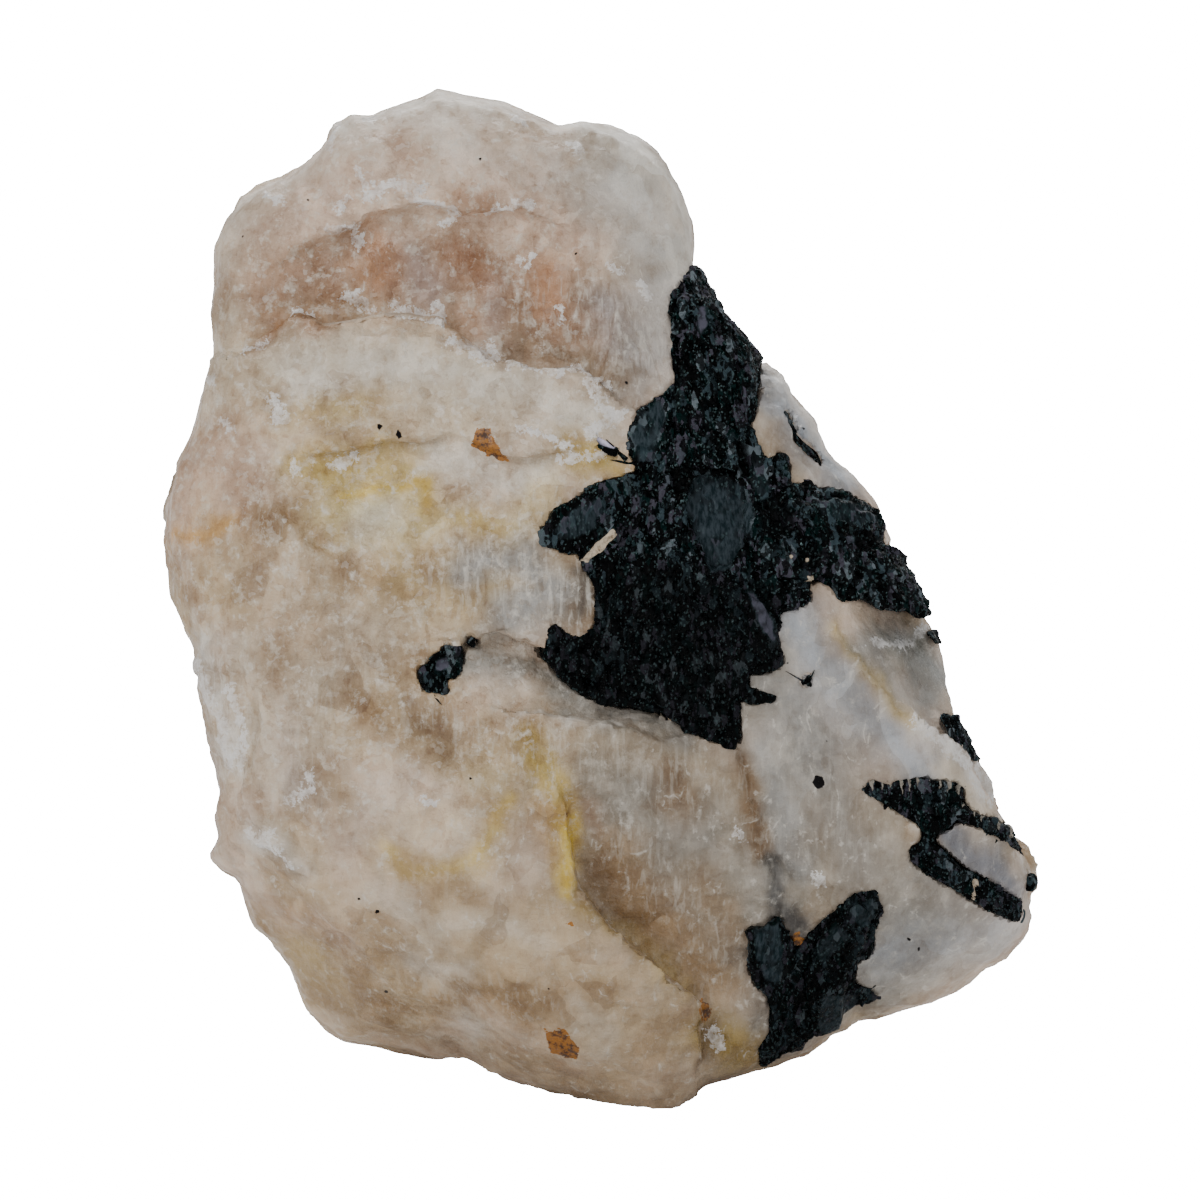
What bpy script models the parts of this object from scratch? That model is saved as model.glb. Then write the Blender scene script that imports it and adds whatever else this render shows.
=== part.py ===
"""A hand specimen of rose quartz with black tourmaline crystals grown into it.

The stone is drawn at full size on a sheet 120 mm square, as it is seen from the front: on the sheet
x runs right and y runs down, both in millimetres. Depth runs away from the viewer. The finished
stone leans back by LEAN degrees and rests on a flat spot under it. The quartz is one solid with a
pocket for each tourmaline crystal, and every crystal is a solid of its own.
"""

import math

import bmesh
import bpy
from mathutils import Matrix, Vector, noise

MM = 0.001

# Driving sizes of the stone, in millimetres and degrees
SHEET_MIDDLE_X = 60.0
SHEET_FOOT_Y = 110.9
LEAN = 12.0
CENTRE = (47.0, 58.0)
FRONT_DEPTH = 15.0
BACK_DEPTH = 21.0
RINGS = 20
FRONT_ROUNDING = 3.0
BACK_ROUNDING = 3.2
FOOT_SWEEP_LEFT = 5.4
FOOT_SWEEP_RIGHT = 2.6
FOOT_SWEEP_MOST = 20.0
FOOT_APEX_X = 66.0
TOP_LEAN = -4.0
FLAT_TRIM = 2.4

# How many neighbouring points are merged into one on the rings near a pole, where they would crowd
MERGED_ON_RING = {1: 10, 2: 5, 3: 5, 4: 5, 5: 3, 6: 3, 7: 2}

# How the crystals sit in the quartz, in millimetres
GAP = 0.3
ROOT = 6.0
RIM_BACK = 3.0

# The outline of the stone on the sheet, clockwise from its top
STONE_OUTLINE = [
    (43.8, 9.1), (47.5, 10.0), (50.5, 10.4), (54.0, 11.7), (55.8, 12.6), (58.5, 12.1), (61.8, 13.1),
    (65.0, 14.6), (66.8, 16.1), (68.3, 18.8), (69.1, 22.2), (69.4, 24.8), (69.3, 26.8), (70.6, 29.0),
    (71.7, 31.0), (72.5, 33.0), (74.4, 34.2), (75.8, 36.1), (78.2, 37.3), (80.2, 39.8), (82.0, 43.0),
    (83.2, 45.4), (85.5, 47.4), (87.7, 50.2), (89.2, 53.8), (90.3, 56.8), (91.8, 59.2), (92.4, 60.8),
    (93.6, 63.3), (94.8, 66.2), (95.1, 70.0), (96.0, 72.8), (97.4, 75.6), (99.4, 79.1), (100.8, 82.4),
    (101.9, 85.0), (103.2, 86.8), (103.7, 88.4), (103.3, 89.9), (103.9, 92.0), (103.2, 94.0),
    (101.2, 96.4), (98.8, 97.5), (95.8, 100.0), (92.8, 101.2), (90.0, 102.0), (88.0, 102.5),
    (86.2, 102.5), (85.2, 103.7), (83.6, 104.2), (82.4, 105.2), (80.4, 106.0), (77.8, 106.9),
    (75.6, 107.1), (73.2, 108.0), (70.6, 108.9), (69.2, 110.2), (68.0, 111.5), (65.5, 111.9),
    (62.5, 111.7), (59.5, 111.2), (56.6, 110.3), (53.6, 109.4), (50.8, 108.4), (48.8, 107.0),
    (46.2, 106.3), (43.8, 106.8), (40.4, 106.1), (37.0, 105.5), (34.0, 105.1), (32.0, 104.0),
    (30.4, 102.2), (29.6, 99.8), (28.7, 97.3), (26.8, 94.9), (24.9, 93.1), (24.1, 90.6), (23.4, 88.0),
    (22.0, 87.1), (20.9, 85.8), (21.8, 84.0), (21.2, 81.8), (21.9, 79.6), (21.6, 76.9), (20.4, 74.2),
    (20.1, 70.8), (19.6, 66.8), (18.3, 62.8), (17.0, 59.4), (16.5, 56.4), (16.3, 53.4), (16.6, 50.2),
    (17.6, 46.6), (19.3, 42.8), (20.3, 38.9), (21.2, 35.2), (20.9, 31.6), (21.6, 27.6), (21.4, 24.8),
    (22.4, 22.2), (24.1, 19.8), (25.8, 18.5), (28.6, 17.9), (30.6, 16.4), (32.4, 14.6), (33.4, 12.6),
    (35.2, 11.4), (37.0, 11.7), (39.2, 10.7), (41.6, 10.2),
]

# Broad swells and hollows of the front face: sheet x and y, radius, height
FRONT_SWELLS = [
    (50.0, 20.0, 14.0, 1.6),
    (30.0, 30.0, 8.0, -1.2),
    (28.0, 60.0, 13.0, 1.8),
    (40.0, 92.0, 17.0, 3.4),
    (57.0, 56.0, 11.0, 1.2),
    (92.0, 88.0, 12.0, 1.2),
    (70.0, 42.0, 9.0, -1.2),
    (66.0, 98.0, 9.0, 1.2),
]

# Broad swells of the back face
BACK_SWELLS = [
    (45.0, 75.0, 18.0, 4.5),
    (74.0, 84.0, 14.0, 3.0),
    (42.0, 28.0, 13.0, -2.5),
]

# The broad broken steps of the front face: outline on the sheet, then three corners of the step's
# floor, each as sheet x, sheet y and its depth under the skin
RECESSES = {
    "glassy_recess": (
        [(25.5, 26.6), (29.0, 26.0), (34.0, 24.0), (39.0, 22.0), (43.0, 21.0), (46.0, 21.8), (49.0, 21.5),
         (56.0, 22.0), (60.0, 25.0), (61.5, 31.0), (60.0, 39.2), (57.5, 37.5), (52.5, 37.2), (49.0, 36.5),
         (46.5, 34.0), (44.0, 32.0), (38.5, 31.4), (33.0, 32.4), (29.0, 32.0), (24.6, 34.6)],
        [(27.5, 29.5, 0.9), (58.0, 27.0, 1.3), (54.0, 35.0, 2.8)],
    ),
    "smoky_recess": (
        [(54.0, 76.5), (56.0, 79.0), (57.2, 81.0), (57.2, 85.0), (57.7, 88.5), (60.0, 91.0), (65.0, 95.5),
         (70.0, 100.0), (70.5, 102.0), (70.0, 108.5), (70.2, 112.5), (75.5, 112.0), (76.5, 96.0),
         (79.0, 88.0), (77.0, 85.0), (75.5, 79.0), (73.5, 74.0), (66.0, 73.0)],
        [(58.0, 86.0, 3.2), (71.0, 101.0, 3.0), (77.0, 84.0, 0.2)],
    ),
    "right_fall": (
        [(83.0, 59.0), (88.0, 68.0), (91.0, 71.0), (96.0, 75.0), (101.0, 83.0), (108.0, 82.0),
         (99.0, 58.0), (92.0, 52.0)],
        [(84.5, 60.0, 0.4), (100.0, 80.0, 0.4), (94.0, 64.0, 3.4)],
    ),
    "cream_step": (
        [(29.0, 45.6), (34.5, 45.1), (40.0, 44.0), (46.0, 43.6), (51.0, 45.9), (56.0, 45.4), (60.0, 46.6),
         (60.5, 49.4), (52.5, 54.0), (44.0, 58.0), (33.0, 56.0), (27.0, 50.0)],
        [(34.0, 45.5, 0.9), (56.0, 46.2, 0.9), (43.0, 57.5, -0.1)],
    ),
    "band_step": (
        [(46.4, 63.6), (50.5, 63.2), (54.6, 64.6), (60.0, 68.0), (69.0, 73.0), (66.4, 73.8), (61.0, 72.4),
         (55.0, 71.2), (49.5, 70.6), (46.0, 69.0)],
        [(48.0, 67.0, 0.3), (56.0, 70.6, 0.9), (66.0, 73.0, 0.9)],
    ),
    "left_edge_fall": (
        [(16.0, 62.0), (20.5, 62.6), (23.6, 64.4), (25.4, 68.5), (26.5, 72.1), (25.8, 75.3), (24.7, 78.9),
         (22.9, 82.0), (16.0, 84.0)],
        [(24.6, 66.5, 0.4), (25.2, 76.5, 0.5), (22.4, 71.5, 0.7)],
    ),
    "left_foot_fall": (
        [(14.0, 82.0), (23.6, 84.5), (29.0, 88.5), (35.0, 93.5), (40.0, 99.5), (44.0, 112.0), (14.0, 112.0)],
        [(26.0, 86.8, 0.5), (38.0, 97.0, 0.4), (30.5, 96.0, 1.6)],
    ),
}

# The broad fracture planes of the back: a point of the plane as sheet x, sheet y and depth, then the
# direction it faces as right, away from the viewer and up
BACK_PLANES = {
    "back_plane_top": ((50.0, 30.0, 17.5), (-0.12, 0.86, 0.42)),
    "back_plane_left": ((30.0, 62.0, 19.5), (-0.50, 0.86, -0.05)),
    "back_plane_right": ((86.0, 66.0, 15.5), (0.62, 0.76, 0.20)),
    "back_plane_middle": ((60.0, 74.0, 22.0), (0.10, 0.99, -0.06)),
}

# The outlines of the tourmaline crystals on the sheet
MAIN_OUTLINE = [
    (69.2, 26.8), (71.4, 28.2), (73.2, 31.6), (75.2, 33.2), (76.4, 35.2), (75.7, 36.4), (75.4, 38.8),
    (75.2, 41.8), (74.6, 42.8), (75.2, 44.2), (76.2, 46.2), (77.1, 46.8), (77.6, 45.6), (78.2, 45.8),
    (78.6, 47.0), (78.6, 49.0), (79.8, 48.6), (80.8, 48.4), (81.5, 49.1), (84.0, 49.3), (86.1, 50.5),
    (87.6, 51.4), (88.0, 52.4), (87.9, 54.4), (89.2, 55.2), (91.4, 55.6), (93.0, 58.6), (93.6, 60.6),
    (92.4, 61.5), (90.5, 60.7), (87.6, 60.6), (85.6, 59.6), (83.8, 59.9), (82.8, 58.6), (81.5, 57.8),
    (80.4, 57.8), (80.6, 60.1), (79.0, 60.8), (77.3, 61.1), (77.4, 63.5), (78.0, 66.4), (76.2, 66.9),
    (74.5, 67.3), (74.6, 68.6), (77.2, 69.8), (74.8, 70.1), (73.5, 69.5), (73.6, 70.8), (73.7, 73.6),
    (73.0, 74.5), (71.0, 73.8), (68.2, 72.4), (66.2, 70.9), (64.2, 70.6), (60.0, 69.8), (57.4, 68.6),
    (55.6, 66.8), (54.4, 65.2), (54.7, 64.0), (55.6, 62.6), (56.4, 63.2), (57.5, 63.9), (58.6, 63.6),
    (59.7, 62.5), (59.9, 60.6), (59.6, 58.4), (58.4, 56.8), (58.1, 55.5), (56.0, 55.0), (54.3, 54.4),
    (54.2, 53.2), (55.4, 51.6), (57.5, 50.2), (60.0, 48.7), (62.5, 47.9), (63.9, 47.6), (63.6, 46.2),
    (62.9, 45.5), (62.7, 43.7), (63.2, 42.6), (64.1, 41.2), (65.2, 40.7), (66.4, 39.5), (67.3, 38.6),
    (67.2, 35.0), (67.1, 33.4), (66.9, 31.0), (67.4, 29.6), (68.6, 28.2),
]
COLUMN_OUTLINE = [
    (68.0, 30.0), (71.5, 31.0), (74.2, 34.0), (75.2, 38.0), (74.3, 42.6), (74.0, 46.6), (70.0, 47.6),
    (67.4, 47.0), (67.8, 42.0), (68.0, 36.0),
]
ARM_OUTLINE = [
    (76.0, 51.0), (79.5, 50.2), (84.0, 50.3), (87.0, 52.0), (86.9, 55.0), (90.6, 57.4), (86.0, 58.8),
    (81.5, 57.0), (78.0, 57.4), (75.5, 55.0),
]
FAN_OUTLINE = [
    (62.0, 57.0), (67.0, 54.5), (72.0, 57.5), (76.2, 61.0), (76.4, 65.6), (73.0, 67.6), (72.0, 72.6),
    (68.0, 71.0), (62.0, 68.4), (57.0, 66.6), (60.6, 63.4),
]
SMOOTH_FACET_OUTLINE = [
    (69.3, 47.5), (73.5, 47.8), (74.5, 50.0), (74.0, 56.0), (71.2, 57.0), (69.7, 55.0), (68.3, 51.5),
]
FOOT_OUTLINE = [
    (85.8, 89.1), (87.0, 88.9), (87.6, 90.0), (87.9, 91.1), (87.3, 92.4), (87.1, 94.0), (86.8, 95.4),
    (85.6, 95.8), (85.2, 97.2), (85.2, 98.3), (86.6, 99.0), (87.4, 99.7), (89.2, 99.8), (88.0, 100.8),
    (87.0, 101.4), (87.0, 103.4), (86.0, 104.6), (84.2, 105.4), (82.0, 106.4), (78.4, 107.6),
    (76.8, 107.8), (76.1, 106.0), (76.0, 104.6), (77.1, 103.2), (77.2, 101.0), (76.8, 99.4),
    (75.6, 98.2), (75.0, 96.6), (74.9, 94.4), (74.8, 92.8), (76.2, 92.6), (77.6, 91.6), (78.4, 92.9),
    (79.5, 95.0), (80.3, 94.2), (81.0, 93.2), (82.3, 91.7), (83.6, 90.6), (84.8, 89.7),
]
FOOT_RIDGE_OUTLINE = [
    (82.6, 92.4), (85.6, 90.2), (86.8, 91.2), (86.0, 94.4), (84.4, 97.0), (84.2, 100.0), (84.0, 103.0),
    (81.6, 103.6), (80.6, 98.0),
]
SPRAY_OUTLINE = [
    (85.8, 78.7), (87.0, 78.0), (88.2, 78.4), (90.0, 78.0), (92.0, 77.8), (93.6, 78.2), (95.2, 78.2),
    (96.0, 78.8), (95.8, 80.0), (96.8, 81.0), (98.0, 81.6), (99.4, 81.9), (100.2, 82.6), (101.6, 82.6),
    (102.6, 84.8), (103.2, 86.4), (101.4, 84.9), (100.0, 83.6), (98.0, 82.5), (95.3, 81.6),
    (94.6, 82.5), (93.2, 83.0), (93.0, 84.2), (93.8, 84.9), (96.0, 86.7), (98.0, 87.7), (100.0, 89.0),
    (102.2, 90.4), (101.9, 92.0), (100.0, 91.4), (97.2, 89.8), (95.0, 88.5), (93.0, 87.2),
    (91.0, 85.9), (90.8, 84.8), (91.9, 84.2), (92.4, 83.2), (91.6, 82.2), (89.0, 80.6), (87.0, 79.4),
]
PRISM_OUTLINE = [
    (93.0, 84.9), (96.0, 87.2), (98.4, 88.6), (101.4, 90.6), (101.2, 91.3), (97.6, 89.5), (94.4, 87.7),
    (92.2, 86.2),
]
LEFT_OUTLINE = [
    (42.2, 66.7), (43.0, 66.3), (43.4, 65.6), (44.2, 65.2), (44.8, 64.6), (46.4, 64.7), (46.4, 65.8),
    (46.2, 67.2), (45.6, 67.6), (44.8, 67.5), (44.8, 68.3), (45.0, 69.1), (44.2, 69.2), (42.9, 69.0),
    (42.4, 68.0),
]
SMALL_CRYSTALS = {
    "tourmaline_blade": [(59.3, 43.8), (60.4, 44.3), (61.7, 45.1), (61.5, 45.8), (60.0, 45.1)],
    "tourmaline_left_chip": [(46.8, 64.2), (47.3, 63.5), (47.8, 64.0), (47.6, 64.6), (47.0, 64.5)],
    "tourmaline_lower_chip": [(79.8, 67.5), (80.8, 67.2), (81.2, 68.0), (80.6, 68.9), (79.8, 68.6)],
    "tourmaline_edge_chip": [(92.6, 63.2), (93.3, 62.8), (94.4, 63.2), (94.9, 64.4), (93.5, 64.3)],
    "tourmaline_edge_sliver": [(94.0, 71.6), (95.4, 71.8), (97.0, 74.0), (98.2, 76.2), (96.8, 75.6),
                               (95.2, 73.8)],
    "tourmaline_tip_sliver": [(103.0, 88.0), (103.7, 87.6), (104.6, 88.4), (104.2, 90.4), (103.3, 89.8)],
    "tourmaline_needles": [(78.1, 41.1), (78.7, 41.3), (79.4, 42.7), (79.8, 43.8), (80.4, 44.3),
                           (81.2, 45.0), (81.8, 45.9), (82.1, 46.6), (81.7, 46.8), (81.1, 46.0),
                           (80.3, 45.4), (79.3, 44.4), (78.6, 42.6)],
}


def placed(x, y, depth=0.0):
    """The point of space that a point of the sheet stands for, at a depth behind the sheet."""
    return Vector((x - SHEET_MIDDLE_X, depth, SHEET_FOOT_Y - y)) * MM


def swell(x, y, swells):
    """The height that a list of round swells adds at a point of the sheet."""
    total = 0.0
    for at_x, at_y, radius, height in swells:
        away = math.hypot(x - at_x, y - at_y) / radius
        total += height * math.exp(-away * away)
    return total


def rim_depth(x, y):
    """How far behind the sheet the stone's rim lies: it sweeps back along the floor at the foot."""
    above_foot = max(0.0, SHEET_FOOT_Y - y)
    sweep = FOOT_SWEEP_LEFT if x < FOOT_APEX_X else FOOT_SWEEP_RIGHT
    foot = min(sweep * above_foot, FOOT_SWEEP_MOST)
    fade = max(0.0, 1.0 - above_foot / 30.0)
    top = TOP_LEAN * max(0.0, above_foot - 60.0) / 40.0
    return foot * fade + top


def lumps(x, y, side):
    """Irregular lumps of a broken surface, finer away from the middle of the face."""
    coarse = noise.noise(Vector((x * 0.055, y * 0.055, 3.7 * side)))
    fine = noise.noise(Vector((x * 0.15, y * 0.15, 11.3 * side)))
    spread = min(1.0, math.hypot(x - CENTRE[0], y - CENTRE[1]) / 30.0)
    return 1.7 * coarse + 0.9 * fine * spread


def rim(meridian, spread=0):
    """The outline's point on a meridian, and its depth, averaged over some neighbours."""
    near = [STONE_OUTLINE[(step - meridian) % len(STONE_OUTLINE)] for step in range(-spread, spread + 1)]
    x = sum(point[0] for point in near) / len(near)
    y = sum(point[1] for point in near) / len(near)
    return x, y, sum(rim_depth(*point) for point in near) / len(near)


def stone_point(meridian, ring, inset):
    """One point of the stone's skin. Ring 0 is the front pole and RINGS the back pole."""
    share = ring / (RINGS / 2)
    side = 1.0 if share <= 1.0 else -1.0
    reach = math.sin(share * math.pi / 2)
    sharp_x, sharp_y, _ = rim(meridian)
    soft_x, soft_y, _ = rim(meridian, 8)
    _, _, soft_depth = rim(meridian, 5)
    sharpness = reach ** 12
    out_x = soft_x + (sharp_x - soft_x) * sharpness - CENTRE[0]
    out_y = soft_y + (sharp_y - soft_y) * sharpness - CENTRE[1]
    shrink = 1.0 - inset / math.hypot(out_x, out_y)
    x = CENTRE[0] + out_x * reach * shrink
    y = CENTRE[1] + out_y * reach * shrink
    if side > 0:
        rounding = FRONT_ROUNDING
        thickness = FRONT_DEPTH + swell(x, y, FRONT_SWELLS) - inset
    else:
        rounding = BACK_ROUNDING
        thickness = BACK_DEPTH + swell(x, y, BACK_SWELLS) - inset
    fullness = max(0.0, 1.0 - abs(reach) ** rounding) ** (1.0 / rounding)
    thickness = (thickness + lumps(x, y, side)) * fullness
    return placed(x, y, soft_depth * reach ** 4 - side * thickness)


def new_object(name, mesh, collection):
    obj = bpy.data.objects.new(name, mesh)
    collection.objects.link(obj)
    obj.parent = lean
    return obj


def as_guide(obj):
    """Keeps an object out of the finished part: it only shapes other objects."""
    obj.hide_render = True
    obj.display_type = "WIRE"
    return obj


def stone_form(name, inset, collection):
    """The whole stone as one closed skin, drawn in from its surface by an inset in millimetres."""
    bm = bmesh.new()
    meridians = len(STONE_OUTLINE)
    bmesh.ops.create_uvsphere(bm, u_segments=meridians, v_segments=RINGS, radius=1.0)
    points = {}
    for vert in bm.verts:
        ring = round(math.acos(max(-1.0, min(1.0, vert.co.z))) / math.pi * RINGS)
        turn = math.atan2(vert.co.y, vert.co.x) / (2 * math.pi)
        meridian = math.floor(turn * meridians) % meridians
        vert.co = stone_point(meridian, ring, inset)
        points[ring, meridian] = vert
    merged = {}
    for (ring, meridian), vert in points.items():
        group = MERGED_ON_RING.get(min(ring, RINGS - ring), 1)
        if meridian % group:
            merged[vert] = points[ring, meridian - meridian % group]
    bmesh.ops.weld_verts(bm, targetmap=merged)
    mesh = bpy.data.meshes.new(name)
    bm.to_mesh(mesh)
    bm.free()
    return new_object(name, mesh, collection)


def guide_form(inset):
    """A stone form kept as a guide, made once for each inset."""
    name = f"stone_form_{inset:+.1f}"
    if name not in guides.objects:
        as_guide(stone_form(name, inset, guides))
    return guides.objects[name]


def grown(outline, by):
    """The outline drawn a little larger all round, with its sharpest corners blunted."""
    area = 0.0
    for (x0, y0), (x1, y1) in zip(outline, outline[1:] + outline[:1]):
        area += x0 * y1 - x1 * y0
    outward = 1.0 if area > 0 else -1.0
    result = []
    for index, (x, y) in enumerate(outline):
        before = Vector(outline[index - 1])
        after = Vector(outline[(index + 1) % len(outline)])
        along_in = (Vector((x, y)) - before).normalized()
        along_out = (after - Vector((x, y))).normalized()
        normal_in = Vector((along_in.y, -along_in.x)) * outward
        normal_out = Vector((along_out.y, -along_out.x)) * outward
        middle = (normal_in + normal_out).normalized()
        reach = min(1.8, 1.0 / max(0.1, middle.dot(normal_in)))
        result.append((x + middle.x * by * reach, y + middle.y * by * reach))
    return result


def prism(name, outline, front, back, collection):
    """An outline of the sheet carried from a front depth to a back depth."""
    curve = bpy.data.curves.new(name, "CURVE")
    curve.dimensions = "2D"
    curve.fill_mode = "BOTH"
    curve.extrude = (back - front) / 2 * MM
    spline = curve.splines.new("POLY")
    spline.points.add(len(outline) - 1)
    for point, (x, y) in zip(spline.points, outline):
        spot = placed(x, y)
        point.co = (spot.x, spot.z, 0.0, 1.0)
    spline.use_cyclic_u = True
    outline_object = bpy.data.objects.new(name, curve)
    collection.objects.link(outline_object)
    depsgraph = bpy.context.evaluated_depsgraph_get()
    mesh = bpy.data.meshes.new_from_object(outline_object.evaluated_get(depsgraph))
    bpy.data.objects.remove(outline_object)
    bm = bmesh.new()
    bm.from_mesh(mesh)
    bmesh.ops.remove_doubles(bm, verts=bm.verts, dist=0.00001)
    bmesh.ops.transform(bm, matrix=Matrix.Rotation(math.radians(90), 4, "X"), verts=bm.verts)
    bmesh.ops.translate(bm, vec=(0.0, (front + back) / 2 * MM, 0.0), verts=bm.verts)
    bmesh.ops.recalc_face_normals(bm, faces=bm.faces)
    bm.to_mesh(mesh)
    bm.free()
    return new_object(name, mesh, collection)


def combine(obj, operation, other):
    step = obj.modifiers.new(f"{operation.lower()}_{other.name}"[:60], "BOOLEAN")
    step.operation = operation
    step.solver = "EXACT"
    step.object = other
    return obj


def skin_depth(x, y):
    """The depth at which the quartz's front skin lies behind a point of the sheet."""
    start = placed(x, y, -60.0)
    hit, spot, _, _ = quartz.ray_cast(start, Vector((0.0, 1.0, 0.0)))
    return spot.y / MM if hit else 0.0


def recess(name, outline, floor):
    """A step broken out of the front: its floor is a plane given by three depths under the skin."""
    corners = [placed(x, y, skin_depth(x, y) + under) for x, y, under in floor]
    facing = (corners[1] - corners[0]).cross(corners[2] - corners[0]).normalized()
    step = prism(name, outline, -60.0, 60.0, guides)
    for vert in step.data.vertices:
        if vert.co.y > 0.0:
            beyond = (corners[0] - vert.co).dot(facing) / facing.y
            vert.co.y += beyond
    combine(quartz, "DIFFERENCE", as_guide(step))


def break_plane(name, at, facing):
    """A broad fracture plane: everything of the quartz beyond it is broken away."""
    bpy.ops.mesh.primitive_cube_add(size=0.12)
    block = bpy.context.object
    block.name = name
    for collection in list(block.users_collection):
        collection.objects.unlink(block)
    guides.objects.link(block)
    block.parent = lean
    outward = Vector(facing).normalized()
    block.location = placed(*at) + outward * 0.06
    block.rotation_euler = outward.to_track_quat("Z", "Y").to_euler()
    combine(quartz, "DIFFERENCE", as_guide(block))


def slab(name, outline, proud):
    """A guide prism that ends a little proud of the stone's skin."""
    body = as_guide(prism(name, outline, -60.0, RIM_BACK - 0.5, guides))
    return combine(body, "INTERSECT", guide_form(-proud))


def crystal(name, outline, proud, raised=(), sunk=()):
    """A tourmaline crystal rooted in the quartz, and the pocket that it sits in."""
    body = prism(name, outline, -60.0, RIM_BACK, part)
    combine(body, "INTERSECT", guide_form(-proud))
    for index, (face_outline, height) in enumerate(raised):
        combine(body, "UNION", slab(f"{name}_raised_{index}", face_outline, height))
    for index, (face_outline, inset) in enumerate(sunk):
        lowered = as_guide(prism(f"{name}_sunk_{index}", face_outline, -60.0, RIM_BACK, guides))
        combine(lowered, "DIFFERENCE", guide_form(inset))
        combine(body, "DIFFERENCE", lowered)
    combine(body, "DIFFERENCE", guide_form(ROOT))
    pocket = as_guide(prism(f"{name}_pocket", grown(outline, GAP), -60.0, RIM_BACK + GAP, guides))
    combine(pocket, "DIFFERENCE", guide_form(ROOT + GAP))
    combine(quartz, "DIFFERENCE", pocket)
    return body


def paint(obj, colour, roughness):
    material = bpy.data.materials.new(obj.name)
    material.use_nodes = True
    shader = material.node_tree.nodes["Principled BSDF"]
    shader.inputs["Base Color"].default_value = (*colour, 1.0)
    shader.inputs["Roughness"].default_value = roughness
    shader.inputs["Metallic"].default_value = 0.0
    obj.data.materials.clear()
    obj.data.materials.append(material)


for leftover in list(bpy.data.objects):
    bpy.data.objects.remove(leftover)

part = bpy.data.collections.new("rose_quartz_with_tourmaline")
guides = bpy.data.collections.new("guides")
bpy.context.scene.collection.children.link(part)
bpy.context.scene.collection.children.link(guides)

# Everything hangs on one empty, which leans the stone back and sets it on the floor
lean = bpy.data.objects.new("lean", None)
lean.rotation_euler = (math.radians(-LEAN), 0.0, 0.0)
part.objects.link(lean)
lean_turn = Matrix.Rotation(math.radians(-LEAN), 4, "X")

# The quartz, with the steps of its front and the fracture planes of its back
quartz = stone_form("rose_quartz", 0.0, part)
bpy.context.view_layer.update()
for recess_name, (recess_outline, recess_floor) in RECESSES.items():
    recess(recess_name, recess_outline, recess_floor)
for plane_name, (plane_at, plane_facing) in BACK_PLANES.items():
    break_plane(plane_name, plane_at, plane_facing)

# The flat spot that the stone rests on
lowest = min((lean_turn @ vert.co).z for vert in quartz.data.vertices)
bpy.ops.mesh.primitive_cube_add(size=0.2)
floor_trim = bpy.context.object
floor_trim.name = "floor_trim"
for used in list(floor_trim.users_collection):
    used.objects.unlink(floor_trim)
guides.objects.link(floor_trim)
floor_trim.parent = lean
floor_trim.location = lean_turn.inverted() @ Vector((0.0, 0.0, lowest + FLAT_TRIM * MM - 0.1))
floor_trim.rotation_euler = (math.radians(LEAN), 0.0, 0.0)
combine(quartz, "DIFFERENCE", as_guide(floor_trim))

# The tourmaline crystals and their pockets
crystals = [
    crystal(
        "tourmaline_main", MAIN_OUTLINE, 0.3,
        raised=[(COLUMN_OUTLINE, 1.3), (ARM_OUTLINE, 1.0), (FAN_OUTLINE, 1.1)],
        sunk=[(SMOOTH_FACET_OUTLINE, 0.7)],
    ),
    crystal("tourmaline_foot", FOOT_OUTLINE, 0.3, raised=[(FOOT_RIDGE_OUTLINE, 1.4)]),
    crystal("tourmaline_spray", SPRAY_OUTLINE, 0.2, raised=[(PRISM_OUTLINE, 1.0)]),
    crystal("tourmaline_left_patch", LEFT_OUTLINE, 0.2),
]
for crystal_name, crystal_outline in SMALL_CRYSTALS.items():
    crystals.append(crystal(crystal_name, crystal_outline, 0.3))

paint(quartz, (0.72, 0.56, 0.49), 0.45)
for piece in crystals:
    paint(piece, (0.02, 0.022, 0.025), 0.35)

# The origin is on the floor, under the middle of the stone
bpy.context.view_layer.update()
depsgraph = bpy.context.evaluated_depsgraph_get()
corners = []
for piece in [quartz, *crystals]:
    final = piece.evaluated_get(depsgraph)
    corners += [final.matrix_world @ vert.co for vert in final.data.vertices]
middle_x = (min(corner.x for corner in corners) + max(corner.x for corner in corners)) / 2
middle_y = (min(corner.y for corner in corners) + max(corner.y for corner in corners)) / 2
lean.location = (-middle_x, -middle_y, -min(corner.z for corner in corners))
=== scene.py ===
"""A hand specimen of rose quartz with black tourmaline grown through it, dressed over its CAD solids."""

import math

import bmesh
import bpy
import numpy as np
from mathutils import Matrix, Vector, noise
from mathutils.bvhtree import BVHTree


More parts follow.
